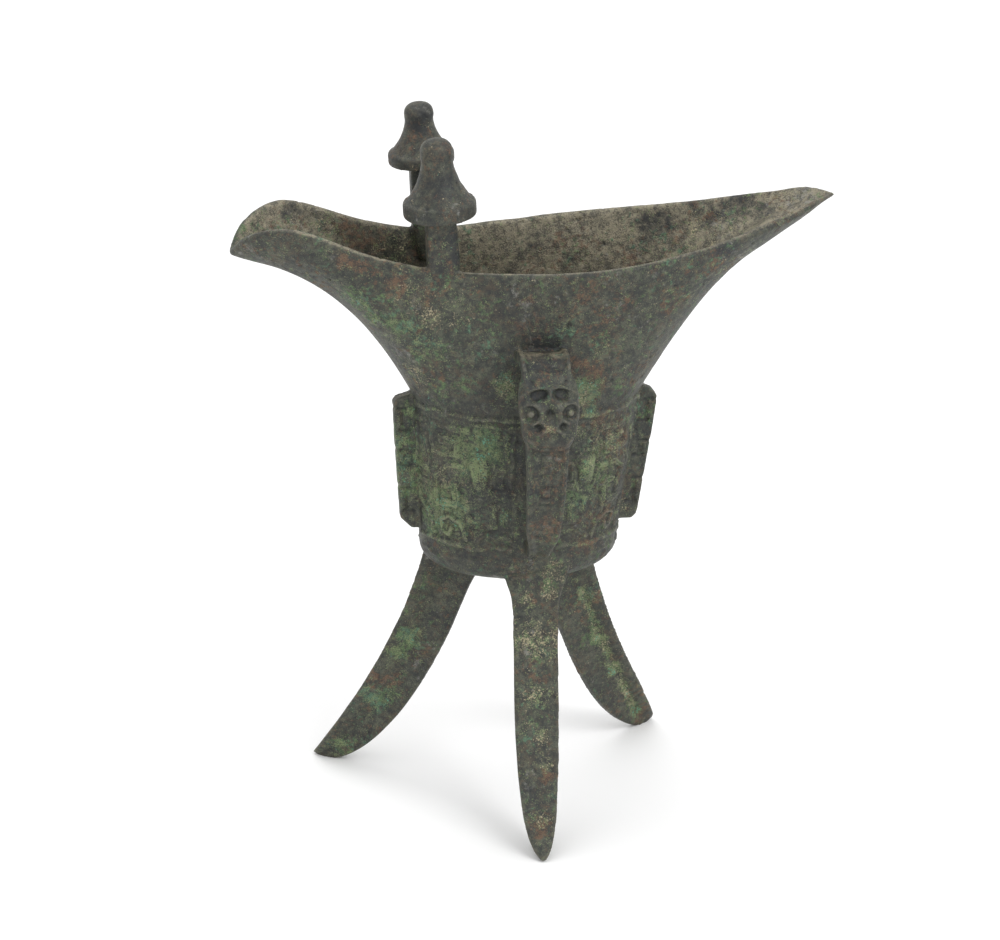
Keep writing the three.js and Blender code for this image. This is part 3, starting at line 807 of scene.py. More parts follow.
@dataclass
class Post:
    """A square post on the rim under a bell-shaped cap with a rounded knob."""

    cup: Cup
    side: int
    width: float
    height: float
    cap_radius: float
    cap_height: float
    along: float = 0.308
    depth: float = 6.4
    lean: float = 4.0
    bite: float = 1.1
    corner: float = 0.72

    def placed(self, rings: Rings) -> Rings:
        """The rings leaned toward the spout and set on the rim.

        Args:
            rings: Points round the post's own upright axis, from the rim up.

        Returns:
            The points in place.
        """
        rim = self.cup.rim(np.arange(400) / 400)[0]
        x = -self.cup.spout_reach * self.along
        near = rim[np.argmin(np.abs(rim[:, 0] - x))]
        base = np.array([x, self.side * (abs(near[1]) - self.depth / 2), near[2]])
        c, s = math.cos(math.radians(-self.lean)), math.sin(math.radians(-self.lean))
        return rings @ np.array([[c, 0, -s], [0, 1, 0], [s, 0, c]]) + base

    def stem(self) -> Skin:
        """The post: a square section with cut corners, drawn in to a wedge inside the wall.

        Returns:
            One closed skin.
        """
        levels = np.array([
            [-8, 0.5, 0.3], [-2, 0.85, 0.8], [1.5, 1, 1], [self.height + self.bite, 0.92, 0.92],
        ])
        fine = np.linspace(0, 3, 50)
        z, across, deep = (np.interp(fine, np.arange(4), level)[:, None] for level in levels.T)
        a, b, cut = self.width / 2, self.depth / 2, self.corner
        quarter = [[-a, -b * cut], [-a * cut, -b], [a * cut, -b], [a, -b * cut]]
        outline = sided(np.array(quarter + [[-x, -y] for x, y in quarter]), 6)
        x, y = outline[:, 0], outline[:, 1]
        return Skin(self.placed(np.stack([x * across, y * deep, z + 0 * x], -1)))

    def cap(self) -> Skin:
        """The cap: a bell's profile over a flat rim, turned round the post.

        Returns:
            One closed skin.
        """
        base = np.array([[0.06, 0], [0.97, 0], [1, 0.02], [1, 0.165], [0.97, 0.2], [0.865, 0.205]])
        bell = np.array([
            [0.865, 0.205], [0.83, 0.245], [0.75, 0.3], [0.675, 0.355], [0.605, 0.415], [0.54, 0.49],
            [0.49, 0.56], [0.455, 0.63], [0.435, 0.69], [0.435, 0.74], [0.45, 0.79], [0.445, 0.85],
            [0.41, 0.91], [0.28, 0.975], [0.05, 1],
        ])
        smooth = through(bell, np.linspace(0, len(bell) - 1, 70))
        profile = np.vstack([base[:-1], smooth]) * [self.cap_radius, self.cap_height]
        turn = np.linspace(0, 2 * math.pi, 96, endpoint=False)
        r, z = profile[:, :1], profile[:, 1:] + self.height
        rings = np.stack([r * np.cos(turn), r * np.sin(turn), z + 0 * turn], -1)
        return Skin(self.placed(rings))


# The carving


@dataclass(frozen=True)
class Groove:
    """A line cut into the skin through places in space, as deep as depth at its middle."""

    corners: tuple[tuple[float, float, float], ...]
    width: float = 1.3
    depth: float = 0.8

    def cut(self, points: Points) -> np.ndarray:
        """A bell curve of the distance to the nearest of the line's stretches.

        Args:
            points: Places in millimetres.

        Returns:
            Depth in millimetres.
        """
        best = np.full(len(points), np.inf)
        for start, end in zip(np.array(self.corners[:-1]), np.array(self.corners[1:])):
            way = end - start
            t = np.clip((points - start) @ way / (way @ way), 0, 1)[:, None]
            best = np.minimum(best, np.linalg.norm(points - start - t * way, axis=1))
        return self.depth * bump(best, self.width)


LEG_GROOVE = Groove((
    (21.0, 11.5, 53.5), (27.5, 16.5, 35.5), (34.5, 21.5, 21.5), (41.5, 29.5, 5.5),
))


@dataclass(frozen=True)
class Stroke:
    """A raised line: its corners in millimetres from the panel's inner edge and foot."""

    corners: tuple[tuple[float, float], ...]
    width: float = 2.1
    height: float = 0.9


@dataclass
class Carving:
    """The worn mask on the drum: one panel, repeated and mirrored between flanges and handle."""

    cup: Cup
    border: float = 1.5
    proud: float = 0.7
    ground_cell: float = 4.6
    wander: float = 1.9
    strokes: tuple[Stroke, ...] = (
        Stroke(((6.3, 34.0), (6.3, 21.0)), 0.9, 0.6),
        Stroke(((8.0, 34.0), (8.0, 27.5)), 0.9, 0.6),
        Stroke(((5.2, 38.0), (18.0, 38.0)), 1.0, 0.45),
        Stroke(((8.4, 25.6), (10.7, 25.6), (10.7, 20.4), (8.4, 20.4), (8.4, 25.6)), 0.75, 0.55),
        Stroke(((5.6, 18.3), (15.6, 18.3)), 1.5, 0.75),
        Stroke((
            (18.6, 35.8), (29.8, 35.8), (29.8, 28.0), (21.4, 28.0), (21.4, 32.2), (26.6, 32.2),
        ), 1.7, 0.75),
        Stroke((
            (19.4, 24.4), (25.2, 24.4), (28.6, 21.0), (28.6, 12.8), (22.4, 12.8), (22.4, 18.6),
            (25.4, 18.6),
        ), 1.7),
        Stroke(((33.0, 36.6), (37.6, 36.6), (37.6, 22.4), (32.6, 22.4), (32.6, 32.2)), 1.6, 0.75),
        Stroke(((12.9, 13.7), (10.8, 13.7), (10.8, 7.6), (12.7, 7.6)), 1.3, 0.75),
        Stroke(((5.3, 14.4), (5.3, 6.0)), 0.9, 0.55),
        Stroke(((16.2, 14.8), (16.2, 8.6), (18.9, 8.6), (18.9, 12.6)), 1.3, 0.7),
        Stroke(((5.4, 4.4), (14.4, 4.9), (17.0, 3.2)), 1.6, 0.75),
        Stroke((
            (19.6, 2.6), (21.0, 7.4), (24.5, 9.1), (27.6, 7.4), (27.3, 3.9), (24.6, 3.5),
            (24.1, 5.5),
        ), 1.2, 0.8),
        Stroke(((31.0, 2.8), (32.4, 9.4), (36.6, 11.4), (37.5, 17.4), (33.4, 17.8)), 1.5, 0.75),
    )
    eye: tuple[float, float] = (15.2, 23.4)
    eye_half: tuple[float, float] = (2.7, 4.6)
    eye_height: float = 1.1
    ring_height: float = 0.55
    ground_height: float = 0.3
    bowl_line: float = -3.4

    def panel(self, points: Points) -> tuple[np.ndarray, np.ndarray, np.ndarray]:
        """Where points lie on the drum.

        Args:
            points: Places in millimetres.

        Returns:
            Distance along the oval from the handle or the back, height above the drum's foot,
            and distance outside the oval.
        """
        cup = self.cup
        share = (points[:, 2] - cup.drum_foot) / cup.drum_height
        held = np.clip(share, -0.1, 1.1)
        long, wide, middle = cup.oval(held)
        x, y = (points[:, 0] - middle) / long, points[:, 1] / wide
        turn = np.arctan2(np.abs(y), x)
        table = np.linspace(0, math.pi, 400)
        oval = cup.drum(table, 0.5)
        run = np.concatenate([[0], np.cumsum(np.linalg.norm(np.diff(oval, axis=0), axis=1))])
        along = np.abs(np.interp(turn, table, run) - run[-1] / 2)
        outside = (np.hypot(x, y) - 1) * np.hypot(long * np.cos(turn), wide * np.sin(turn))
        return along, points[:, 2] - cup.drum_foot, outside

    def ground(self, a: np.ndarray, b: np.ndarray) -> np.ndarray:
        """Fine squared spirals that fill the ground: one spiral, folded into every square cell.

        Args:
            a: Distance along the panel.
            b: Height above the drum's foot.

        Returns:
            1 on the spirals' lines and 0 between them.
        """
        size = self.ground_cell
        column = np.floor(a / size)
        u = a - column * size
        v = (b + (column % 2) * size / 2) % size
        spiral = np.array([
            [0.5, 0.5], [4.1, 0.5], [4.1, 4.1], [1.3, 4.1], [1.3, 1.7], [3.0, 1.7], [3.0, 3.0],
            [2.2, 3.0],
        ]) * (size / 4.6)
        return ease(0.52 - near_line(u, v, spiral), 0, 0.3)

    def wandered(self, points: Points, value: np.ndarray, seed: int) -> np.ndarray:
        """The value with a slow and a quick noise added, so that no line runs straight."""
        waves = noise(points, 5.0, seed) + 0.5 * noise(points, 2.2, seed + 2) - 0.75
        return value + self.wander * waves

    def height(self, points: Points) -> tuple[np.ndarray, np.ndarray]:
        """Height of the carving above the drum.

        A line is a flat ridge whose edges fall by a smooth step of the distance to it.

        Args:
            points: Places in millimetres.

        Returns:
            Height in millimetres, and the mask of the drum's outer face.
        """
        a, b, outside = self.panel(points)
        a, b = self.wandered(points, a, 41), self.wandered(points, b, 42)
        top = self.cup.drum_height
        within = ease(b, 2.5, 3.2) * ease(top - b, 2.5, 3.2)
        raised = self.ground_height * self.ground(a, b) * within
        for stroke in self.strokes:
            distance = near_line(a, b, np.array(stroke.corners))
            edge = ease(stroke.width / 2 + 0.28 - distance, 0, 0.56)
            clear = ease(stroke.width / 2 + 0.9 - distance, 0, 0.4)
            cut = 1 - 0.5 * bump(distance, 0.3) * (stroke.width > 1.2)
            raised = np.maximum(raised * (1 - clear), stroke.height * edge * cut)
        across, up = ((v - at) / half for v, at, half in zip((a, b), self.eye, self.eye_half))
        eye = (np.abs(across) ** 3 + np.abs(up) ** 3) ** (1 / 3)
        raised = np.where(eye < 1.5, 0, raised)
        ball = self.eye_height * np.sqrt(np.maximum(1 - (eye / 1.05) ** 2, 0))
        ring = self.ring_height * ease(0.14 - np.abs(eye - 1.36), 0, 0.12)
        line = np.minimum(np.abs(b - self.border / 2), np.abs(b - top + self.border / 2))
        border = self.proud * ease(self.border / 2 + 0.2 - line, 0, 0.45)
        low = 0.35 * ease(0.55 - np.abs(b - self.bowl_line), 0, 0.4)
        for part in (ball, ring, border, low):
            raised = np.maximum(raised, part)
        return raised, ease(1.5 - np.abs(outside), 0, 0.5)


# Corrosion, with some painted shade and highlight


class Crust(Enum):
    """The corrosion colours that are kept as point attributes. The dark one is partly painted shade,
    and a cream and a rust patch on the beast's nose are a painted highlight.
    """

    MALACHITE = "malachite"
    RUST = "rust"
    CREAM = "cream"
    BARE = "bare"
    DARK = "dark_and_shade"


PATCHES = {
    Crust.MALACHITE: (
        (19, -18, 100, 13, 0.7), (-36, 0, 105, 12, 0.9), (-15.5, -19, 110, 13, 1.15),
        (-23.5, -12.5, 89, 13, 1.15), (-26, -13.5, 124, 6, 0.7), (-9, -20, 91.5, 5, 0.7),
        (-8.5, -22, 131, 5, 1.2), (-6, -22.5, 126.5, 4, 1.2), (-37, -16, 146, 9, 0.7),
        (-30, -17.5, 140, 8, 0.9), (-49, -13, 154, 7, 1), (-43.5, -13, 148, 5, 1),
        (6, -24, 147, 6, 0.5), (43.5, -16.5, 151.5, 8, 0.5), (17.5, -22.5, 141.5, 5, 0.6),
        (14, -21.5, 127.5, 6.5, 1.25), (15.5, -20, 121.5, 4, 1), (12, -19.5, 94.5, 7, 0.8),
        (22.5, -15.5, 107.5, 8, 0.5), (-30.5, 6.5, 43, 6, 1.2), (-33, 8, 38, 5, 1.2),
        (-38.5, 12, 23, 7, 0.95), (-48.5, 19, 5, 6, 1), (22, 12, 52, 4, 1.2),
        (27.5, 16.5, 35.5, 4, 1.25), (33, 21, 23.5, 4, 1.25), (42, 29.5, 5.5, 3, 1.2),
        (1.5, -31, 39.5, 4, 0.7), (-32.5, -2, 117, 3, 1.2), (-31, -2, 96, 4, 1.2),
        (-34, 0, 100, 16, 0.9),
    ),
    Crust.RUST: (
        # The first patch, on the beast's nose, is a painted highlight.
        (0.4, -43, 124.6, 3, 1.2), (14, 22, 150.5, 12, 0.8), (36, 18.5, 153, 8, 0.8),
        (22, -16, 112, 12, 0.7), (12, -22.5, 136, 4, 1.2), (16.5, -21.5, 133.5, 5, 1),
        (18, -20.5, 128.5, 4, 0.9), (15, -20.5, 124, 2.5, 1.2), (-47, -17, 163.5, 5, 1.2),
        (-52, -16.5, 166, 5, 1), (-29, -19, 157.5, 6, 0.8), (-38.5, -18, 159.5, 6, 0.8),
        (-48.5, 15, 167.5, 2.5, 1.25), (-61, 12, 168.5, 3, 1), (-30.5, -19, 163.5, 2, 1.25),
        (-14, 19.5, 151.5, 2, 1.25), (19, -18.5, 118, 5, 1), (4, -39.5, 118, 4, 0.9),
        (22, -13.5, 87.5, 4, 1.2), (-33.5, 10, 29, 5, 1.25), (-39.5, 9.5, 31, 3, 1.2),
        (0, -21, 65.5, 2.5, 1.25), (4, -28.5, 46, 3, 1.25), (1.5, -41, 20, 3.5, 1.25),
        (-1, -48.5, 8, 4, 1.2), (25.5, 12.5, 51, 3.5, 1.2), (43.5, 30, 5, 3, 1.25),
        (-32.5, -2, 103.5, 3, 1), (17.5, -15.5, 79.5, 5, 0.9), (47, -19, 160.5, 5, 0.9),
        (-20.5, 3, 59.5, 4, 1), (1.5, -40, 108, 8, 0.75), (1.5, -37, 94, 8, 0.7),
    ),
    Crust.CREAM: (
        # The first patch and the one at (1, -42, 125.5) are a painted highlight on the beast's nose.
        (0.9, -43.2, 125.4, 3.2, 1.25), (21, -17, 110, 13, 0.75), (-27, -12, 92, 9, 0.5),
        (-23, -14, 100, 16, 0.7), (27.5, 16.5, 35.5, 2.5, 1.25), (24, 13.5, 46, 2.5, 1.25),
        (32, 19.5, 26.5, 2, 1.25), (-0.5, -21, 65.5, 3.5, 1.25), (5.5, -20.5, 68, 4, 1.2),
        (7.5, -19, 73.5, 6, 1.2), (1, -35.5, 30.5, 3.5, 1.25), (-2.5, -34, 32.5, 2.5, 1.25),
        (2.5, -39.5, 23.5, 3, 1.25), (0.5, -47.5, 10, 4, 1), (-29, -19.5, 150, 5, 1.2),
        (-32, -12, 131, 7, 1), (13.5, -21.5, 126, 5, 1.25), (12, -21.5, 116, 3, 1.2),
        (-52.5, 14, 165.5, 4, 1.25), (-56, 13.5, 167.5, 3, 1.25), (52, 13, 160, 8, 0.9),
        (59, 11, 164.5, 6, 1), (1, -42, 125.5, 1.8, 1), (29.5, -2, 85.5, 3, 1.25),
        (1.5, -24, 55, 10, 1.15), (0, -30, 41, 6, 0.9), (-9, -22, 130, 4.5, 1.1),
        (-34, 16, 158, 10, 0.9), (-22, 20, 152, 8, 0.8),
    ),
    Crust.BARE: (
        (78.5, 4, 172.5, 9, 1.25), (70.5, 6, 168.5, 7, 1), (59.5, -12.5, 162.5, 6, 1.2),
        (48.5, -11.5, 150, 5, 1), (44, -11, 144.5, 4, 1), (-78, -6.5, 169, 5, 0.8),
        (-36.5, -12, 138, 6, 0.9), (-0.5, -26, 51, 5, 0.6),
    ),
    Crust.DARK: (
        # Dark patina, and painted shade: the patches on and round the strap's top under the beast's
        # head, on the wall just above it, and the two on the drum beside the handle on the spout's
        # side, where its shadow falls, are painted shade.
        (52.5, 16, 166, 12, 1.2), (42, 19, 160.5, 10, 1.1), (62, 12.5, 168.5, 9, 1.2),
        (25.5, 20.5, 150.5, 9, 0.5), (2.5, 22.5, 157.5, 9, 0.6), (0, -38, 139, 12, 1.25),
        (-25, -20, 169, 10, 1.25), (38, 0, 110, 9, 0.9), (2, -23.5, 142.5, 8, 1.25),
        (0, -29, 45, 5, 1.1), (1, -36, 27, 4, 1), (2, -35.5, 139, 6, 1.25),
        (-6, -38.5, 135, 4, 1.25), (-8, -21.5, 99.5, 5, 1.25), (-6, -22, 114.5, 3, 1.2),
        (52.5, 16, 166, 7, 1.25), (47, 14, 156.5, 6, 1.2), (68, 7.5, 168, 5, 1.2),
        (62, 12.5, 168.5, 6, 1.2), (-27.5, -22.5, 187.5, 7, 1), (-28.5, 13, 196.5, 7, 1),
        (-32.5, 16.5, 162, 3.5, 1), (-64, 12, 171.5, 4, 1), (16.5, -25, 155.5, 9, 0.7),
        (-14, -17, 77, 8, 0.8), (-21.5, 4, 50, 6, 0.8), (-43, 15.5, 11, 5, 0.8),
        (1.5, -30, 42, 3, 1.2), (-1.5, -44, 15, 3, 1.2), (0, -38.5, 106, 5, 0.8),
        (-25, -19.5, 171, 6, 1.1), (-10.5, -23, 158.5, 8, 0.6),
    ),
}  # x, y, z and radius in millimetres, and strength


@dataclass
class Corrosion:
    """Swellings, scale and pits that time left, as fields of position.

    The crusts are repeated on the far side, weaker by far_share.
    """

    swelling: float = 0.3
    scale: float = 0.16
    pits: float = 0.35
    far_share: float = 0.7
    cap_zone: tuple[float, float] = (-26.0, 14.0)

    def depth(self, points: Points) -> np.ndarray:
        """How far the skin moves out: slow swellings, grainy scale in patches, few pits.

        Args:
            points: Places in millimetres.

        Returns:
            Distances in millimetres.
        """
        slow = noise(points, 17.0, 3) + 0.5 * noise(points, 7.0, 5) - 0.75
        patches = ease(noise(points, 13.0, 8) + 0.4 * noise(points, 4.0, 9), 0.62, 0.95)
        grain = noise(points, 1.5, 11) + 0.6 * noise(points, 0.8, 12) - 0.8
        pits = ease(noise(points, 2.3, 21), 0.86, 0.97)
        pits += 0.7 * ease(noise(points, 1.2, 22), 0.9, 0.98)
        return self.swelling * slow + self.scale * patches * grain - self.pits * pits

    def clouds(self, points: Points) -> dict[str, np.ndarray]:
        """The strength of each crust, painted shade and highlight among them, at points: the
        strongest of its patches.

        A patch is strongest at its centre and gone at its radius. The groove of the tail's leg
        holds malachite and cream, and the caps are browner than the rest.

        Args:
            points: Places in millimetres.

        Returns:
            One array for each crust, by its attribute's name.
        """
        found = {}
        for crust, rows in PATCHES.items():
            best = np.zeros(len(points))
            for x, y, z, radius, strength in rows:
                for side, share in ((1, 1.0), (-1, self.far_share)):
                    away = np.linalg.norm(points * [1, side, 1] - [x, y, z], axis=1) / radius
                    best = np.maximum(best, share * strength * ease(1 - away, 0, 0.65))
            found[crust] = best
        streak = LEG_GROOVE.cut(points) / LEG_GROOVE.depth
        middle, half = self.cap_zone
        caps = ease(points[:, 2], 172, 178) * (np.abs(points[:, 0] - middle) < half)
        copper = np.maximum(found[Crust.MALACHITE], 1.5 * streak)
        found[Crust.MALACHITE] = copper - 0.8 * caps
        found[Crust.CREAM] = np.maximum(found[Crust.CREAM], 1.9 * streak)
        found[Crust.RUST] = np.maximum(found[Crust.RUST], 0.15 * caps)
        return {crust.value: value for crust, value in found.items()}


@dataclass
class Casting:
    """All forms fused into one skin, then carved and corroded."""

    cup: Cup = field(default_factory=Cup)
    least_relief: float = 0.42
    roughness: float = 0.34

    def __post_init__(self) -> None:
        """Builds the sub-assemblies round the cup."""
        self.legs = [
            Leg(self.cup, 274.3, 268.4, 53.5, skew=1.2, root_flare=0.45),
            Leg(self.cup, 154.0, 155.5, 60.6, inset=2.9),
            Leg(self.cup, 49.0, 37.4, 60.2),
        ]
        self.flanges = [
            Flange(self.cup, 180.0, 2.0, 3.2),
            Flange(self.cup, 0.0, 3.2, 1.5),
            Flange(self.cup, 90.0, 3.0, 2.4),
        ]
        self.handle = Handle(self.cup)
        self.posts = [
            Post(self.cup, -1, 8.8, 15.9, 10.0, 21.7),
            Post(self.cup, 1, 7.4, 20.5, 9.2, 17.3),
        ]
        self.carving = Carving(self.cup)
        self.corrosion = Corrosion()

    def skins(self) -> dict[str, Skin]:
        """Every closed form.

        Returns:
            The forms by name.
        """
        named = {"cup": self.cup.skin(), "strap": self.handle.strap(), "head": self.handle.head()}
        named |= {f"leg {k}": leg.skin() for k, leg in enumerate(self.legs)}
        named |= {f"flange {k}": flange.skin() for k, flange in enumerate(self.flanges)}
        named |= {f"post {k}": post.stem() for k, post in enumerate(self.posts)}
        named |= {f"cap {k}": post.cap() for k, post in enumerate(self.posts)}
        return named

    def fused(self, voxel: float) -> bpy.types.Mesh:
        """The forms as one skin, made again from voxels so that they run into each other.

        Args:
            voxel: Size of a voxel in millimetres.

        Returns:
            A mesh in millimetres.
        """
        points, faces, start = [], [], 0
        for name, skin in self.skins().items():
            points.append(skin.rings.reshape(-1, 3))
            faces += skin.faces(start)
            start += len(points[-1])
            LOG.info("%s: %d points", name, len(points[-1]))
        mesh = bpy.data.meshes.new("forms")
        mesh.from_pydata(np.concatenate(points), [], faces)
        return modified(mesh, "REMESH", mode="VOXEL", voxel_size=voxel, adaptivity=0.0)

    def carve(self, mesh: bpy.types.Mesh) -> None:
        """Moves the skin's points out and in: carving on the drum, grooves, scale and pits.

        Args:
            mesh: The fused skin. It keeps the carving's height and the drum's mask.
        """
        points = relaxed(mesh, read(mesh), 2, 0.5)
        write(mesh, points)
        normals = normals_of(mesh)
        raised, on = self.carving.height(points)
        on = on * ease(outwardness(points, normals), 0.35, 0.6) * (1 - self.set_against(points))
        worn = noise(points, 9.0, 31) + 0.6 * noise(points, 3.0, 32)
        wear = blend(self.least_relief, 1.0, ease(worn, 0.45, 1.1))
        rough = noise(points, 1.7, 33) + 0.6 * noise(points, 0.9, 34) - 0.8
        move = (raised * wear + self.roughness * rough) * on
        for flange in self.flanges:
            move -= flange.grooves(points)
        move -= self.handle.incising(points) + LEG_GROOVE.cut(points)
        by_face = bump(np.abs(points[:, 1] - self.handle.front), 4.0)
        calm = 1 - 0.75 * by_face * ease(points[:, 2], 115, 118)
        move += self.corrosion.depth(points) * calm
        write(mesh, points + normals * move[:, None])
        store(mesh, "relief", np.clip(raised * on / self.carving.proud, 0, 1))
        store(mesh, "band", on)

    def set_against(self, points: Points) -> np.ndarray:
        """Where a flange, the handle or a leg meets the drum, so that no carving crosses it.

        Args:
            points: Places in millimetres.

        Returns:
            1 at these places and 0 elsewhere.
        """
        found = np.zeros(len(points))
        for flange in self.flanges:
            radial, across = flange.plate(points)
            beside = ease(flange.thickness / 2 + 1.2 - np.abs(across), 0, 0.6)
            found = np.maximum(found, beside * (radial > 0))
        beside = ease(6.4 - np.abs(points[:, 0] - self.handle.lean), 0, 0.8)
        return np.maximum(found, beside * (points[:, 1] < -18) * ease(92 - points[:, 2], 0, 3))

    def mesh(self) -> bpy.types.Mesh:
        """The finished casting.

        Returns:
            A mesh in metres, on the frame, with its attributes.
        """
        dense = self.fused(VOXEL)
        LOG.info("fused skin: %d points", len(dense.vertices))
        self.carve(dense)
        count = len(dense.loops) - 2 * len(dense.polygons)
        ratio = min(1.0, TRIANGLES / count)
        mesh = modified(dense, "DECIMATE", ratio=ratio, use_collapse_triangulate=True)
        LOG.info("casting: %d triangles of %d", len(mesh.polygons), count)
        points = read(mesh)
        self.dress(mesh, points)
        lo, hi = (np.array(corner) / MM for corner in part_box("bronze_jue"))
        write(mesh, np.clip(points + FRAME_SHIFT, lo, hi) * MM)
        mesh.polygons.foreach_set("use_smooth", np.ones(len(mesh.polygons), bool))
        return mesh

    def dress(self, mesh: bpy.types.Mesh, points: Points) -> None:
        """Stores the attributes that the bronze's material reads.

        Hollows and edges are the bend of the skin, averaged twice. The inside is where normals
        point up or inward, above the bowl and apart from posts and caps.

        Args:
            mesh: The thinned casting.
            points: Its points.
        """
        normals = normals_of(mesh)
        pull, size = toward_neighbours(mesh, points)
        bend = (pull * normals).sum(1) / np.maximum(size, 1e-6)
        bend = averaged(mesh, averaged(mesh, bend))
        store(mesh, "hollow", ease(bend, 0.02, 0.22))
        store(mesh, "edge", ease(-bend, 0.06, 0.3))
        inward = normals[:, 2] - outwardness(points, normals)
        beside = np.abs(points[:, 0] + 26)
        on_post = ease(points[:, 2] - 175 + beside * 0.9, 0, 4) * (beside < 11)
        inside = ease(inward, 0.3, 0.9) * ease(points[:, 2], 80, 90) * (1 - on_post)
        store(mesh, "inside", inside)
        for name, value in self.corrosion.clouds(points).items():
            store(mesh, name, value)


# Meshes


def read(mesh: bpy.types.Mesh) -> Points:
    """The mesh's points.

    Args:
        mesh: Any mesh.

    Returns:
        One row for each point.
    """
    flat = np.empty(len(mesh.vertices) * 3)
    mesh.vertices.foreach_get("co", flat)
    return flat.reshape(-1, 3)


def write(mesh: bpy.types.Mesh, points: Points) -> None:
    """Puts rows back as the mesh's points."""
    mesh.vertices.foreach_set("co", points.ravel())
    mesh.update()


def normals_of(mesh: bpy.types.Mesh) -> Points:
    """The mesh's point normals.

    Args:
        mesh: Any mesh.

    Returns:
        One row for each point.
    """
    flat = np.empty(len(mesh.vertices) * 3, np.float32)
    mesh.vertex_normals.foreach_get("vector", flat)
    return flat.reshape(-1, 3).astype(float)


def store(mesh: bpy.types.Mesh, name: str, values: np.ndarray) -> None:
    """Keeps values as a point attribute."""
    layer = mesh.attributes.get(name) or mesh.attributes.new(name, "FLOAT", "POINT")
    layer.data.foreach_set("value", values.astype(np.float32))


def edges_of(mesh: bpy.types.Mesh) -> np.ndarray:
    """The mesh's edges.

    Args:
        mesh: Any mesh.

    Returns:
        Pairs of point numbers.
    """
    flat = np.empty(len(mesh.edges) * 2, np.int64)
    mesh.edges.foreach_get("vertices", flat)
    return flat.reshape(-1, 2)


def averaged(mesh: bpy.types.Mesh, values: np.ndarray) -> np.ndarray:
    """The mean of each point's value and its neighbours' mean.

    Args:
        mesh: The mesh whose edges say which points are neighbours.
        values: One value for each point.

    Returns:
        One value for each point.
    """
    a, b = edges_of(mesh).T
    count = len(values)
    total = np.bincount(a, values[b], count) + np.bincount(b, values[a], count)
    near = np.bincount(a, minlength=count) + np.bincount(b, minlength=count)
    return (values + total / np.maximum(near, 1)) / 2


def toward_neighbours(mesh: bpy.types.Mesh, points: Points) -> tuple[Points, np.ndarray]:
    """From each point to the mean of its neighbours.

    Args:
        mesh: The mesh whose edges say which points are neighbours.
        points: Its points.

    Returns:
        One row for each point, and the mean distance to its neighbours.
    """
    a, b = edges_of(mesh).T
    count = len(points)
    near = np.maximum(np.bincount(a, minlength=count) + np.bincount(b, minlength=count), 1)
    length = np.linalg.norm(points[a] - points[b], axis=1)
    size = (np.bincount(a, length, count) + np.bincount(b, length, count)) / near
    ends = [(points[a, k], points[b, k]) for k in range(3)]
    means = [np.bincount(a, q, count) + np.bincount(b, p, count) for p, q in ends]
    return np.stack(means, 1) / near[:, None] - points, size


def relaxed(mesh: bpy.types.Mesh, points: Points, times: int, share: float) -> Points:
    """The points moved toward their neighbours' mean, several times.

    Args:
        mesh: The mesh whose edges say which points are neighbours.
        points: Its points.
        times: How many times.
        share: How much of the way.

    Returns:
        The moved points.
    """
    for _ in range(times):
        points = points + share * toward_neighbours(mesh, points)[0]
    return points


def modified(mesh: bpy.types.Mesh, kind: str, **settings: object) -> bpy.types.Mesh:
    """The mesh with one modifier applied.

    Args:
        mesh: The mesh to change. It is removed.
        kind: The modifier's type.
        settings: The modifier's settings by name.

    Returns:
        The new mesh.
    """
    holder = bpy.data.objects.new("holder", mesh)
    bpy.context.scene.collection.objects.link(holder)
    step = holder.modifiers.new(kind, kind)
    for name, value in settings.items():
        setattr(step, name, value)
    seen = holder.evaluated_get(bpy.context.evaluated_depsgraph_get())
    made = bpy.data.meshes.new_from_object(seen)
    bpy.data.objects.remove(holder)
    bpy.data.meshes.remove(mesh)
    return made


# The finish


def rgba(colour: Colour) -> tuple[float, float, float, float]:
    """The colour with full alpha."""
    return (*colour, 1.0)


@dataclass
class NodeSheet:
    """Adds and links nodes in one tree."""

    tree: bpy.types.NodeTree

    def add(self, kind: str, inputs: dict | None = None, **settings: object) -> bpy.types.Node:
        """A new node.

        Args:
            kind: The node's type.
            inputs: Values or sockets for its inputs, by name or number.
            settings: The node's own settings.

        Returns:
            The node.
        """
        node = self.tree.nodes.new(kind)
        for name, value in settings.items():
            setattr(node, name, value)
        for name, value in (inputs or {}).items():
            if isinstance(value, bpy.types.NodeSocket):
                self.tree.links.new(value, node.inputs[name])
            else:
                node.inputs[name].default_value = value
        return node

    def attribute(self, name: str) -> bpy.types.NodeSocket:
        """The value of a point attribute."""
        return self.add("ShaderNodeAttribute", attribute_name=name).outputs["Fac"]

    def math(self, operation: str, *values: object) -> bpy.types.NodeSocket:
        """A sum, product or other number from one to three values."""
        node = self.add("ShaderNodeMath", dict(enumerate(values)), operation=operation)
        return node.outputs[0]

    def mix(self, factor: object, a: object, b: object) -> bpy.types.NodeSocket:
        """Colour a where the factor is 0, colour b where it is 1."""
        names = {0: factor, 6: a, 7: b}
        return self.add("ShaderNodeMix", names, data_type="RGBA").outputs[2]

    def step(self, value: object, low: object, high: object) -> bpy.types.NodeSocket:
        """A smooth step of value from low to high."""
        inputs = {"Value": value, "From Min": low, "From Max": high}
        return self.add("ShaderNodeMapRange", inputs, interpolation_type="SMOOTHSTEP").outputs[0]

    def noise(self, size: object, seed: object, detail: float) -> bpy.types.NodeSocket:
        """Noise in object space.

        Args:
            size: The noise's scale per metre.
            seed: Fourth coordinate, another value gives another pattern.
            detail: Octaves.

        Returns:
            The noise's value.
        """
        place = self.add("ShaderNodeTexCoord").outputs["Object"]
        inputs = {"Vector": place, "W": seed, "Scale": size, "Detail": detail, "Roughness": 0.66}
        return self.add("ShaderNodeTexNoise", inputs, noise_dimensions="4D").outputs[0]


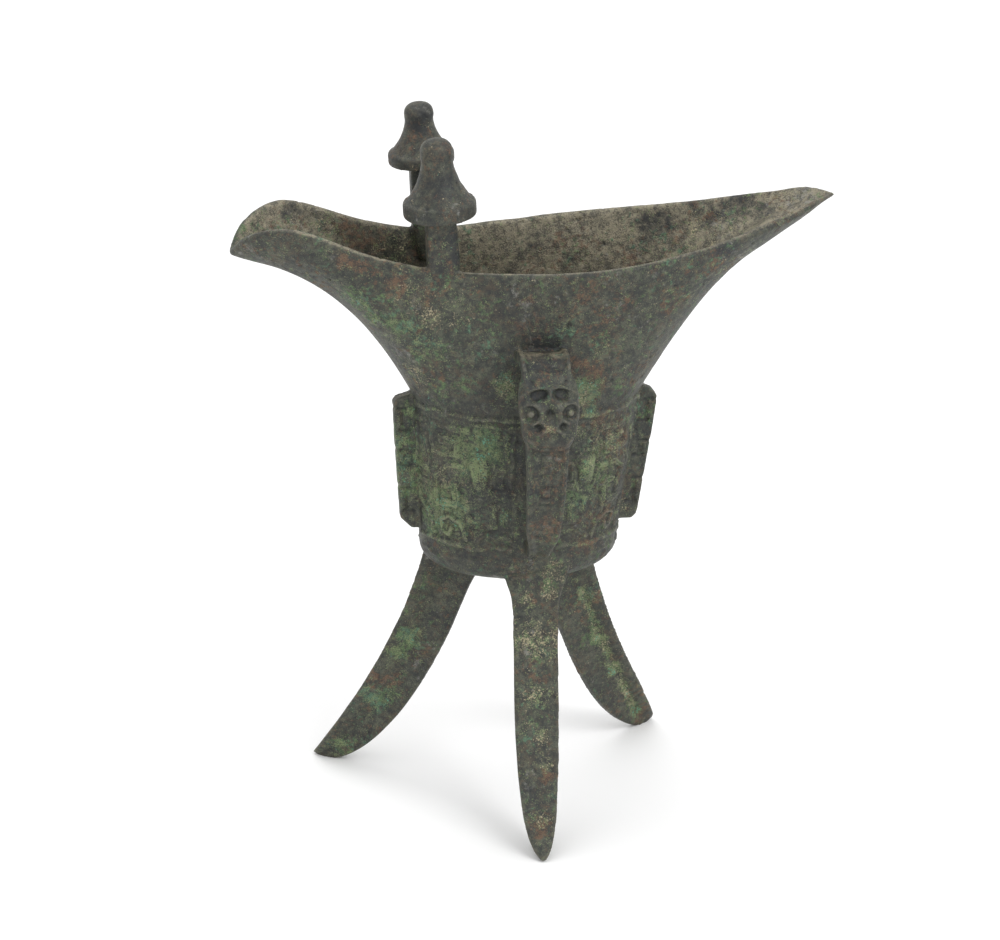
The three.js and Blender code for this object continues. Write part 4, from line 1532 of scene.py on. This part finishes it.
def group(name: str, inputs: dict[str, float], output: str) -> NodeSheet:
    """An empty shader node group with float sockets.

    Args:
        name: The group's name.
        inputs: Default value of each input by name.
        output: Name of the output.

    Returns:
        A sheet to fill it.
    """
    tree = bpy.data.node_groups.new(name, "ShaderNodeTree")
    for label, value in inputs.items():
        socket = tree.interface.new_socket(label, in_out="INPUT", socket_type="NodeSocketFloat")
        socket.default_value = value
    tree.interface.new_socket(output, in_out="OUTPUT", socket_type="NodeSocketFloat")
    return NodeSheet(tree)


def mottling_group() -> bpy.types.NodeTree:
    """Speckled patches: coarse noise, finer noise and a cloud in one sum, cut by a smooth step.

    Returns:
        The group, whose output is the Mask.
    """
    inputs = {"Scale": 60, "Seed": 0, "Cloud": 0, "Threshold": 0.6, "Edge": 0.1, "Grain": 0.8}
    sheet = group("Mottling", inputs, "Mask")
    given = sheet.add("NodeGroupInput").outputs
    ragged = sheet.noise(given["Scale"], given["Seed"], 5.0)
    fine = sheet.noise(sheet.math("MULTIPLY", given["Scale"], 6.0), given["Seed"], 3.0)
    grains = sheet.math("MULTIPLY", sheet.math("SUBTRACT", fine, 0.5), given["Grain"])
    clouded = sheet.math("MULTIPLY_ADD", given["Cloud"], 0.18, ragged)
    high = sheet.math("ADD", given["Threshold"], given["Edge"])
    mask = sheet.step(sheet.math("ADD", clouded, grains), given["Threshold"], high)
    sheet.add("NodeGroupOutput", {"Mask": mask})
    return sheet.tree


def pitting_group() -> bpy.types.NodeTree:
    """Grain and small pits: fine noise, less a sharper one where it is high.

    Returns:
        The group, whose output is the Height.
    """
    sheet = group("Pitting", {"Grain": 1600, "Pits": 700, "Depth": 1}, "Height")
    given = sheet.add("NodeGroupInput").outputs
    grain = sheet.noise(given["Grain"], 2.0, 3.0)
    pit = sheet.step(sheet.noise(given["Pits"], 5.0, 3.0), 0.6, 0.72)
    height = sheet.math("SUBTRACT", grain, sheet.math("MULTIPLY", pit, given["Depth"]))
    sheet.add("NodeGroupOutput", {"Height": height})
    return sheet.tree


@dataclass(frozen=True)
class Mottle:
    """Values for one use of the mottling group. Scale is per metre."""

    scale: float
    seed: int
    threshold: float
    edge: float
    grain: float = 0.9

    def mask(self, sheet: NodeSheet, tree: bpy.types.NodeTree, cloud: object) -> object:
        """The mottled mask.

        Args:
            sheet: The material's sheet.
            tree: The mottling group.
            cloud: Value or socket that favours the patches where it is high.

        Returns:
            The mask's socket.
        """
        inputs = {"Scale": self.scale, "Seed": self.seed, "Cloud": cloud}
        inputs |= {"Threshold": self.threshold, "Edge": self.edge, "Grain": self.grain}
        return sheet.add("ShaderNodeGroup", inputs, node_tree=tree).outputs["Mask"]


@dataclass(frozen=True)
class Layer:
    """One colour over the last ones, where its mottled mask is high, times share.

    cloud names the field that favours it, and bounds, if given, one that it is multiplied by.
    An inverted layer lies where its mask is low.
    """

    name: str
    colour: Colour
    share: float
    mottle: Mottle
    cloud: str | None = None
    bounds: str | None = None
    inverted: bool = False


@dataclass(frozen=True)
class PatinatedBronze:
    """Dark olive bronze under green, red-brown and cream corrosion, with painted highlights on edges
    and some painted shade.
    """

    shade: Colour = (0.046, 0.05, 0.043)
    olive: Colour = (0.099, 0.104, 0.078)
    umber: Colour = (0.092, 0.071, 0.05)
    slate: Colour = (0.03, 0.032, 0.034)
    malachite: Colour = (0.11, 0.175, 0.08)
    verdigris: Colour = (0.09, 0.17, 0.11)
    lichen: Colour = (0.19, 0.23, 0.115)
    turquoise: Colour = (0.14, 0.36, 0.25)
    rust: Colour = (0.16, 0.092, 0.058)
    cream: Colour = (0.38, 0.335, 0.22)
    ochre: Colour = (0.285, 0.255, 0.185)
    bare: Colour = (0.19, 0.175, 0.14)
    grey: Colour = (0.23, 0.225, 0.205)
    gloss: float = 0.3
    ground: Mottle = Mottle(95, 1, 0.3, 0.42, 1.2)
    tone: Mottle = Mottle(60, 9, 0.48, 0.1, 0.5)
    # Strength of the painted highlight on convex edges.
    edge_highlight: float = 0.65
    # How much darker the hollows and the carving's low ground are made.
    recess_darkening: float = 0.75
    ground_darkening: float = 0.3
    bump_strength: float = 0.6
    bump_distance: float = 0.0003

    def layers(self) -> tuple[Layer, ...]:
        """The crusts and stains, from the lowest to the highest; the dark one is partly painted
        shade.

        Returns:
            Their layers. The green one is drawn in two tones.
        """
        return (
            Layer("umber", self.umber, 0.6, Mottle(120, 8, 0.46, 0.24)),
            Layer("lining", self.ochre, 0.9, Mottle(80, 3, 0.28, 0.5), "inside", "inside"),
            # Slate over the dark patches: dark patina, and painted shade on and beside the handle.
            Layer("dark_and_shade", self.slate, 0.93, Mottle(70, 2, 0.55, 0.28, 0.6), "dark_and_shade"),
            Layer("smooth", self.grey, 0.75, Mottle(90, 12, 0.62, 0.2), "bare"),
            Layer("rust", self.rust, 0.68, Mottle(110, 4, 0.555, 0.22, 1.1), "rust"),
            Layer("green", self.malachite, 0.85, Mottle(105, 5, 0.575, 0.22, 1.2), "malachite"),
            Layer("specks", self.slate, 0.7, Mottle(480, 10, 0.38, 0.2, 1.0), inverted=True),
            Layer("flecks", self.lichen, 0.8, Mottle(460, 11, 0.62, 0.16, 1.3), "raised"),
            Layer("cream", self.cream, 0.85, Mottle(330, 6, 0.745, 0.2, 1.7), "light"),
            Layer("spots", self.turquoise, 0.75, Mottle(280, 7, 0.81, 0.1, 1.0), "malachite"),
        )

    def fields(self, sheet: NodeSheet) -> dict[str | None, object]:
        """The point attributes, and two sums of them that favour flecks and cream.

        Args:
            sheet: The material's sheet.

        Returns:
            Sockets by name, and 0 for a layer without a cloud.
        """
        names = ("inside", "hollow", "edge", "relief", "band", *(crust.value for crust in Crust))
        found = {None: 0.0} | {name: sheet.attribute(name) for name in names}
        pale = sheet.math("MULTIPLY", found["cream"], 0.4)
        pale = sheet.math("MULTIPLY_ADD", found["malachite"], 0.7, pale)
        found["raised"] = sheet.math("MULTIPLY_ADD", found["relief"], 0.45, pale)
        lined = sheet.math("MULTIPLY", found["inside"], 0.3)
        found["light"] = sheet.math("MAXIMUM", found["cream"], lined)
        return found

    def base_colour(self, sheet: NodeSheet) -> tuple[object, dict[str, object]]:
        """The ground under all layers, painted highlights on edges and darkening in hollows.

        Args:
            sheet: The material's sheet.

        Returns:
            The colour's socket, and the mask of each layer by name.
        """
        tree, field, masks = mottling_group(), self.fields(sheet), {}
        colour = sheet.mix(self.ground.mask(sheet, tree, 0.0), rgba(self.shade), rgba(self.olive))
        for layer in self.layers():
            mask = layer.mottle.mask(sheet, tree, field[layer.cloud])
            if layer.bounds:
                mask = sheet.math("MULTIPLY", field[layer.bounds], mask)
            if layer.inverted:
                mask = sheet.math("SUBTRACT", 1.0, mask)
            masks[layer.name] = mask
            over = rgba(layer.colour)
            if layer.name == "green":
                over = sheet.mix(self.tone.mask(sheet, tree, 0.0), over, rgba(self.verdigris))
            colour = sheet.mix(sheet.math("MULTIPLY", mask, layer.share), colour, over)
        # Painted highlight: convex edges are lightened toward the bare bronze's colour.
        worn = sheet.math("MULTIPLY", field["edge"], self.edge_highlight)
        colour = sheet.mix(worn, colour, rgba(self.bare))
        # Darker in hollows and on the carving's low ground, toward slate.
        low = sheet.math("MULTIPLY", field["band"], sheet.math("SUBTRACT", 1.0, field["relief"]))
        low = sheet.math("MULTIPLY", low, self.ground_darkening)
        recess_darkening = sheet.math("MAXIMUM", sheet.math("MULTIPLY", field["hollow"], self.recess_darkening), low)
        return sheet.mix(recess_darkening, colour, rgba(self.slate)), masks

    def material(self) -> bpy.types.Material:
        """The bronze. Crusts are rougher, less metallic and stand proud.

        Returns:
            The material.
        """
        material = bpy.data.materials.new("patinated bronze")
        material.use_nodes = True
        material.node_tree.nodes.clear()
        sheet = NodeSheet(material.node_tree)
        colour, masks = self.base_colour(sheet)
        crust = sheet.math("MAXIMUM", masks["rust"], masks["cream"])
        crust = sheet.math("MAXIMUM", masks["green"], crust)
        pitting = {"Grain": 1500.0, "Pits": 620.0}
        pits = sheet.add("ShaderNodeGroup", pitting, node_tree=pitting_group()).outputs
        scaly = sheet.math("MULTIPLY_ADD", crust, 0.6, pits["Height"])
        dimple = sheet.add("ShaderNodeBump", {
            "Height": scaly, "Strength": self.bump_strength, "Distance": self.bump_distance,
        })
        surface = sheet.add("ShaderNodeBsdfPrincipled", {
            "Base Color": colour,
            "Metallic": sheet.math("MULTIPLY_ADD", crust, -0.3, 0.35),
            "Roughness": sheet.math("MULTIPLY_ADD", crust, 0.3, 0.5),
            "Normal": dimple.outputs[0],
            "Specular IOR Level": self.gloss,
        })
        sheet.add("ShaderNodeOutputMaterial", {"Surface": surface.outputs[0]})
        return material


# The studio


@dataclass
class Studio:
    """A plain pale floor, soft lights and the camera at the photograph's angle."""

    azimuth: float = -10.0
    elevation: float = 21.5
    roll: float = 1.2
    distance: float = 1.2
    aim: float = 0.1
    focal_pixels: float = 4262.6
    shift_pixels: tuple[float, float] = (20.5, -11.2)
    frame_pixels: float = 1000.0
    floor_half: float = 6.0
    floor_grey: float = 0.9

    def floor(self) -> None:
        """A wide pale plane under the legs."""
        mesh = bpy.data.meshes.new("floor")
        h = self.floor_half
        mesh.from_pydata([(-h, -h, 0), (h, -h, 0), (h, h, 0), (-h, h, 0)], [], [[0, 1, 2, 3]])
        material = bpy.data.materials.new("pale floor")
        material.use_nodes = True
        shader = material.node_tree.nodes["Principled BSDF"]
        shader.inputs["Base Color"].default_value = rgba((self.floor_grey,) * 3)
        shader.inputs["Roughness"].default_value = 0.9
        mesh.materials.append(material)
        plane = bpy.data.objects.new("floor", mesh)
        bpy.context.scene.collection.objects.link(plane)

    def lamp(self, name: str, place: tuple[float, float, float], size: float, watts: float) -> None:
        """An area light, aimed at the cup.

        Args:
            name: The light's name.
            place: Where it hangs, in metres.
            size: Its side in metres.
            watts: Its power.
        """
        light = bpy.data.lights.new(name, "AREA")
        light.size, light.energy = size, watts
        lamp = bpy.data.objects.new(name, light)
        way = (Vector((0, 0, self.aim)) - Vector(place)).to_track_quat("-Z", "Y")
        lamp.matrix_world = Matrix.Translation(place) @ way.to_matrix().to_4x4()
        bpy.context.scene.collection.objects.link(lamp)

    def lights(self) -> None:
        """A bright even surround, a soft light in front on the right and a weaker one above."""
        world = bpy.data.worlds.new("surround")
        world.use_nodes = True
        back = world.node_tree.nodes["Background"]
        back.inputs["Color"].default_value = (1, 1, 1, 1)
        back.inputs["Strength"].default_value = 1.0
        bpy.context.scene.world = world
        self.lamp("front light", (0.9, -1.2, 1.5), 1.0, 14)
        self.lamp("top light", (-0.4, 0.3, 1.7), 1.4, 8)

    def camera(self) -> None:
        """The camera: on the given direction from the aim, rolled about its own axis."""
        a, e, r = (math.radians(v) for v in (self.azimuth, self.elevation, self.roll))
        back = np.array([math.sin(a) * math.cos(e), -math.cos(a) * math.cos(e), math.sin(e)])
        right = np.array([math.cos(a), math.sin(a), 0])
        up = np.cross(back, right)
        c, s = math.cos(r), math.sin(r)
        right, up = c * right + s * up, c * up - s * right
        place = np.array([0, 0, self.aim]) + back * self.distance + FRAME_SHIFT * MM
        data = bpy.data.cameras.new("camera")
        data.sensor_width = 36.0
        data.lens = self.focal_pixels * data.sensor_width / self.frame_pixels
        data.shift_x = -self.shift_pixels[0] / self.frame_pixels
        data.shift_y = self.shift_pixels[1] / self.frame_pixels
        data.clip_start, data.clip_end = 0.05, 20.0
        camera = bpy.data.objects.new("camera", data)
        rows = np.stack([right, up, back, place], 1).tolist()
        camera.matrix_world = Matrix([*rows, [0, 0, 0, 1]])
        bpy.context.scene.collection.objects.link(camera)
        bpy.context.scene.camera = camera

    def build(self) -> None:
        """The whole studio, seen without a film curve so that the floor stays white."""
        bpy.context.scene.view_settings.view_transform = "Standard"
        self.floor()
        self.lights()
        self.camera()


def main() -> None:
    """Builds the casting and the studio."""
    logging.basicConfig(level=logging.INFO, format="%(name)s %(message)s")
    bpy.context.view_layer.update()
    mesh = Casting().mesh()
    mesh.materials.clear()
    mesh.materials.append(PatinatedBronze().material())
    mesh.name = "jue_casting"
    piece = bpy.data.objects.new("jue_casting", mesh)
    bpy.context.scene.collection.objects.link(piece)
    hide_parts("bronze_jue")
    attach(piece, "root")
    Studio().build()


if __name__ == "__main__":
    main()
